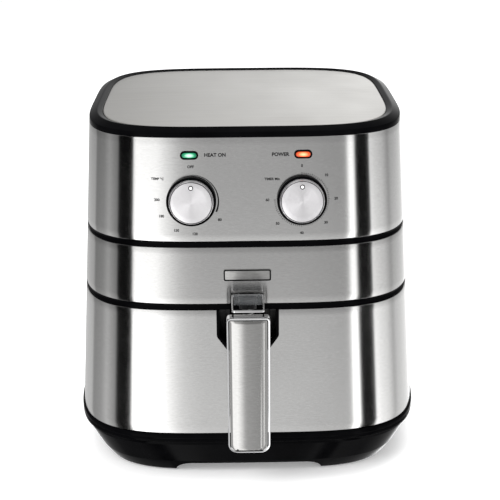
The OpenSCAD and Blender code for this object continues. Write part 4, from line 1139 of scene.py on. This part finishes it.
# What the steel mirrors, as (degrees round from the front, brightness): cards and flags of a product studio
STUDIO = [(-180, 1.0), (-175, 0.70), (-171, 0.46), (-160, 0.42), (-128, 0.42), (-122, 0.22), (-98, 0.30), (-84, 0.46),
          (-66, 0.26), (-63, 0.004), (-42, 0.004), (-40.5, 1.75), (-20, 1.55), (-13, 1.05), (-8, 0.68), (-3, 0.55),
          (12, 0.49), (27, 0.44), (30, 0.60), (31.5, 1.75), (36.5, 1.75), (38.5, 0.004), (57, 0.004), (59, 1.15),
          (68, 0.95), (84, 0.75), (100, 0.42), (110, 0.55), (150, 0.7), (170, 1.45), (174, 1.5), (180, 1.0)]


def world():
    """White to the camera, even light for matt surfaces, and the studio for what mirrors it."""
    sky = bpy.data.worlds.new("studio")
    bpy.context.scene.world = sky
    sky.use_nodes = True
    sky.cycles.sampling_method = "NONE"       # each kind of ray finds the brightness meant for it
    sky.node_tree.nodes.clear()
    tree = Tree(sky.node_tree)
    add, link = tree.add, tree.link
    direction = add("ShaderNodeTexCoord")
    parts = add("ShaderNodeSeparateXYZ")
    link(direction, "Generated", parts, "Vector")
    back = add("ShaderNodeMath", operation="MULTIPLY")
    back.inputs[1].default_value = -1
    link(parts, "Y", back, 0)
    azimuth = add("ShaderNodeMath", operation="ARCTAN2")
    link(parts, "X", azimuth, 0)
    link(back, "Value", azimuth, 1)
    share = add("ShaderNodeMapRange", in_From_Min=-math.pi, in_From_Max=math.pi)
    link(azimuth, "Value", share, "Value")
    ramp = add("ShaderNodeValToRGB")
    brightest = max(value for _, value in STUDIO)
    points = ramp.color_ramp.elements
    for angle, value in STUDIO:
        point = points[0] if angle == -180 else points[-1] if angle == 180 else points.new((angle + 180) / 360)
        point.color = (value / brightest,) * 3 + (1,)
    link(share, "Result", ramp, "Fac")
    low_light = add("ShaderNodeMapRange", in_From_Min=-0.11, in_From_Max=-0.34,
                    in_To_Min=0.8 * brightest, in_To_Max=1.6 * brightest)     # the pale table lights what mirrors it
    link(parts, "Z", low_light, "Value")
    mirrored = add("ShaderNodeBackground")
    link(low_light, "Result", mirrored, "Strength")
    link(ramp, "Color", mirrored, "Color")
    white = (1, 1, 1, 1)
    soft = add("ShaderNodeBackground", in_Color=white, in_Strength=1.05)
    seen = add("ShaderNodeBackground", in_Color=white, in_Strength=1.0)
    path = add("ShaderNodeLightPath")
    indirect = add("ShaderNodeMixShader")
    link(path, "Is Glossy Ray", indirect, "Fac")
    link(soft, "Background", indirect, 1)
    link(mirrored, "Background", indirect, 2)
    direct = add("ShaderNodeMixShader")
    link(path, "Is Camera Ray", direct, "Fac")
    link(indirect, "Shader", direct, 1)
    link(seen, "Background", direct, 2)
    link(direct, "Shader", add("ShaderNodeOutputWorld"), "Surface")


def lamp(name, place_at, aim, size, power):
    """A soft rectangular lamp that the steel does not mirror."""
    data = bpy.data.lights.new(name, "AREA")
    data.shape = "RECTANGLE"
    data.size, data.size_y = size
    data.energy = power
    thing = new_object(name, data)
    thing.location = place_at
    thing.rotation_euler = (Vector(aim) - Vector(place_at)).to_track_quat("-Z", "Y").to_euler()
    thing.visible_glossy = False


bpy.context.scene.view_settings.view_transform = "Standard"
camera()
floor()
world()
lamp("key", (-0.9, -1.1, 1.6), (0, 0, 0.15), (1.2, 1.2), 22)
lamp("top", (0.2, 0.3, 1.8), (0, 0, 0.2), (1.6, 1.6), 26)

steel_bands()
groove("low_groove", "low_groove_ring")
groove("high_groove", "high_groove_ring")
rim_and_top()
base()
prints()
dial("temperature", "temperature_turn", "temperature_knob", "temperature_dial")
dial("timer", "timer_turn", "timer_knob", "timer_dial")
lamps()
badge()
handle()
neck()
guard()
button()
pan()
basket()
rear_cover()
dress()
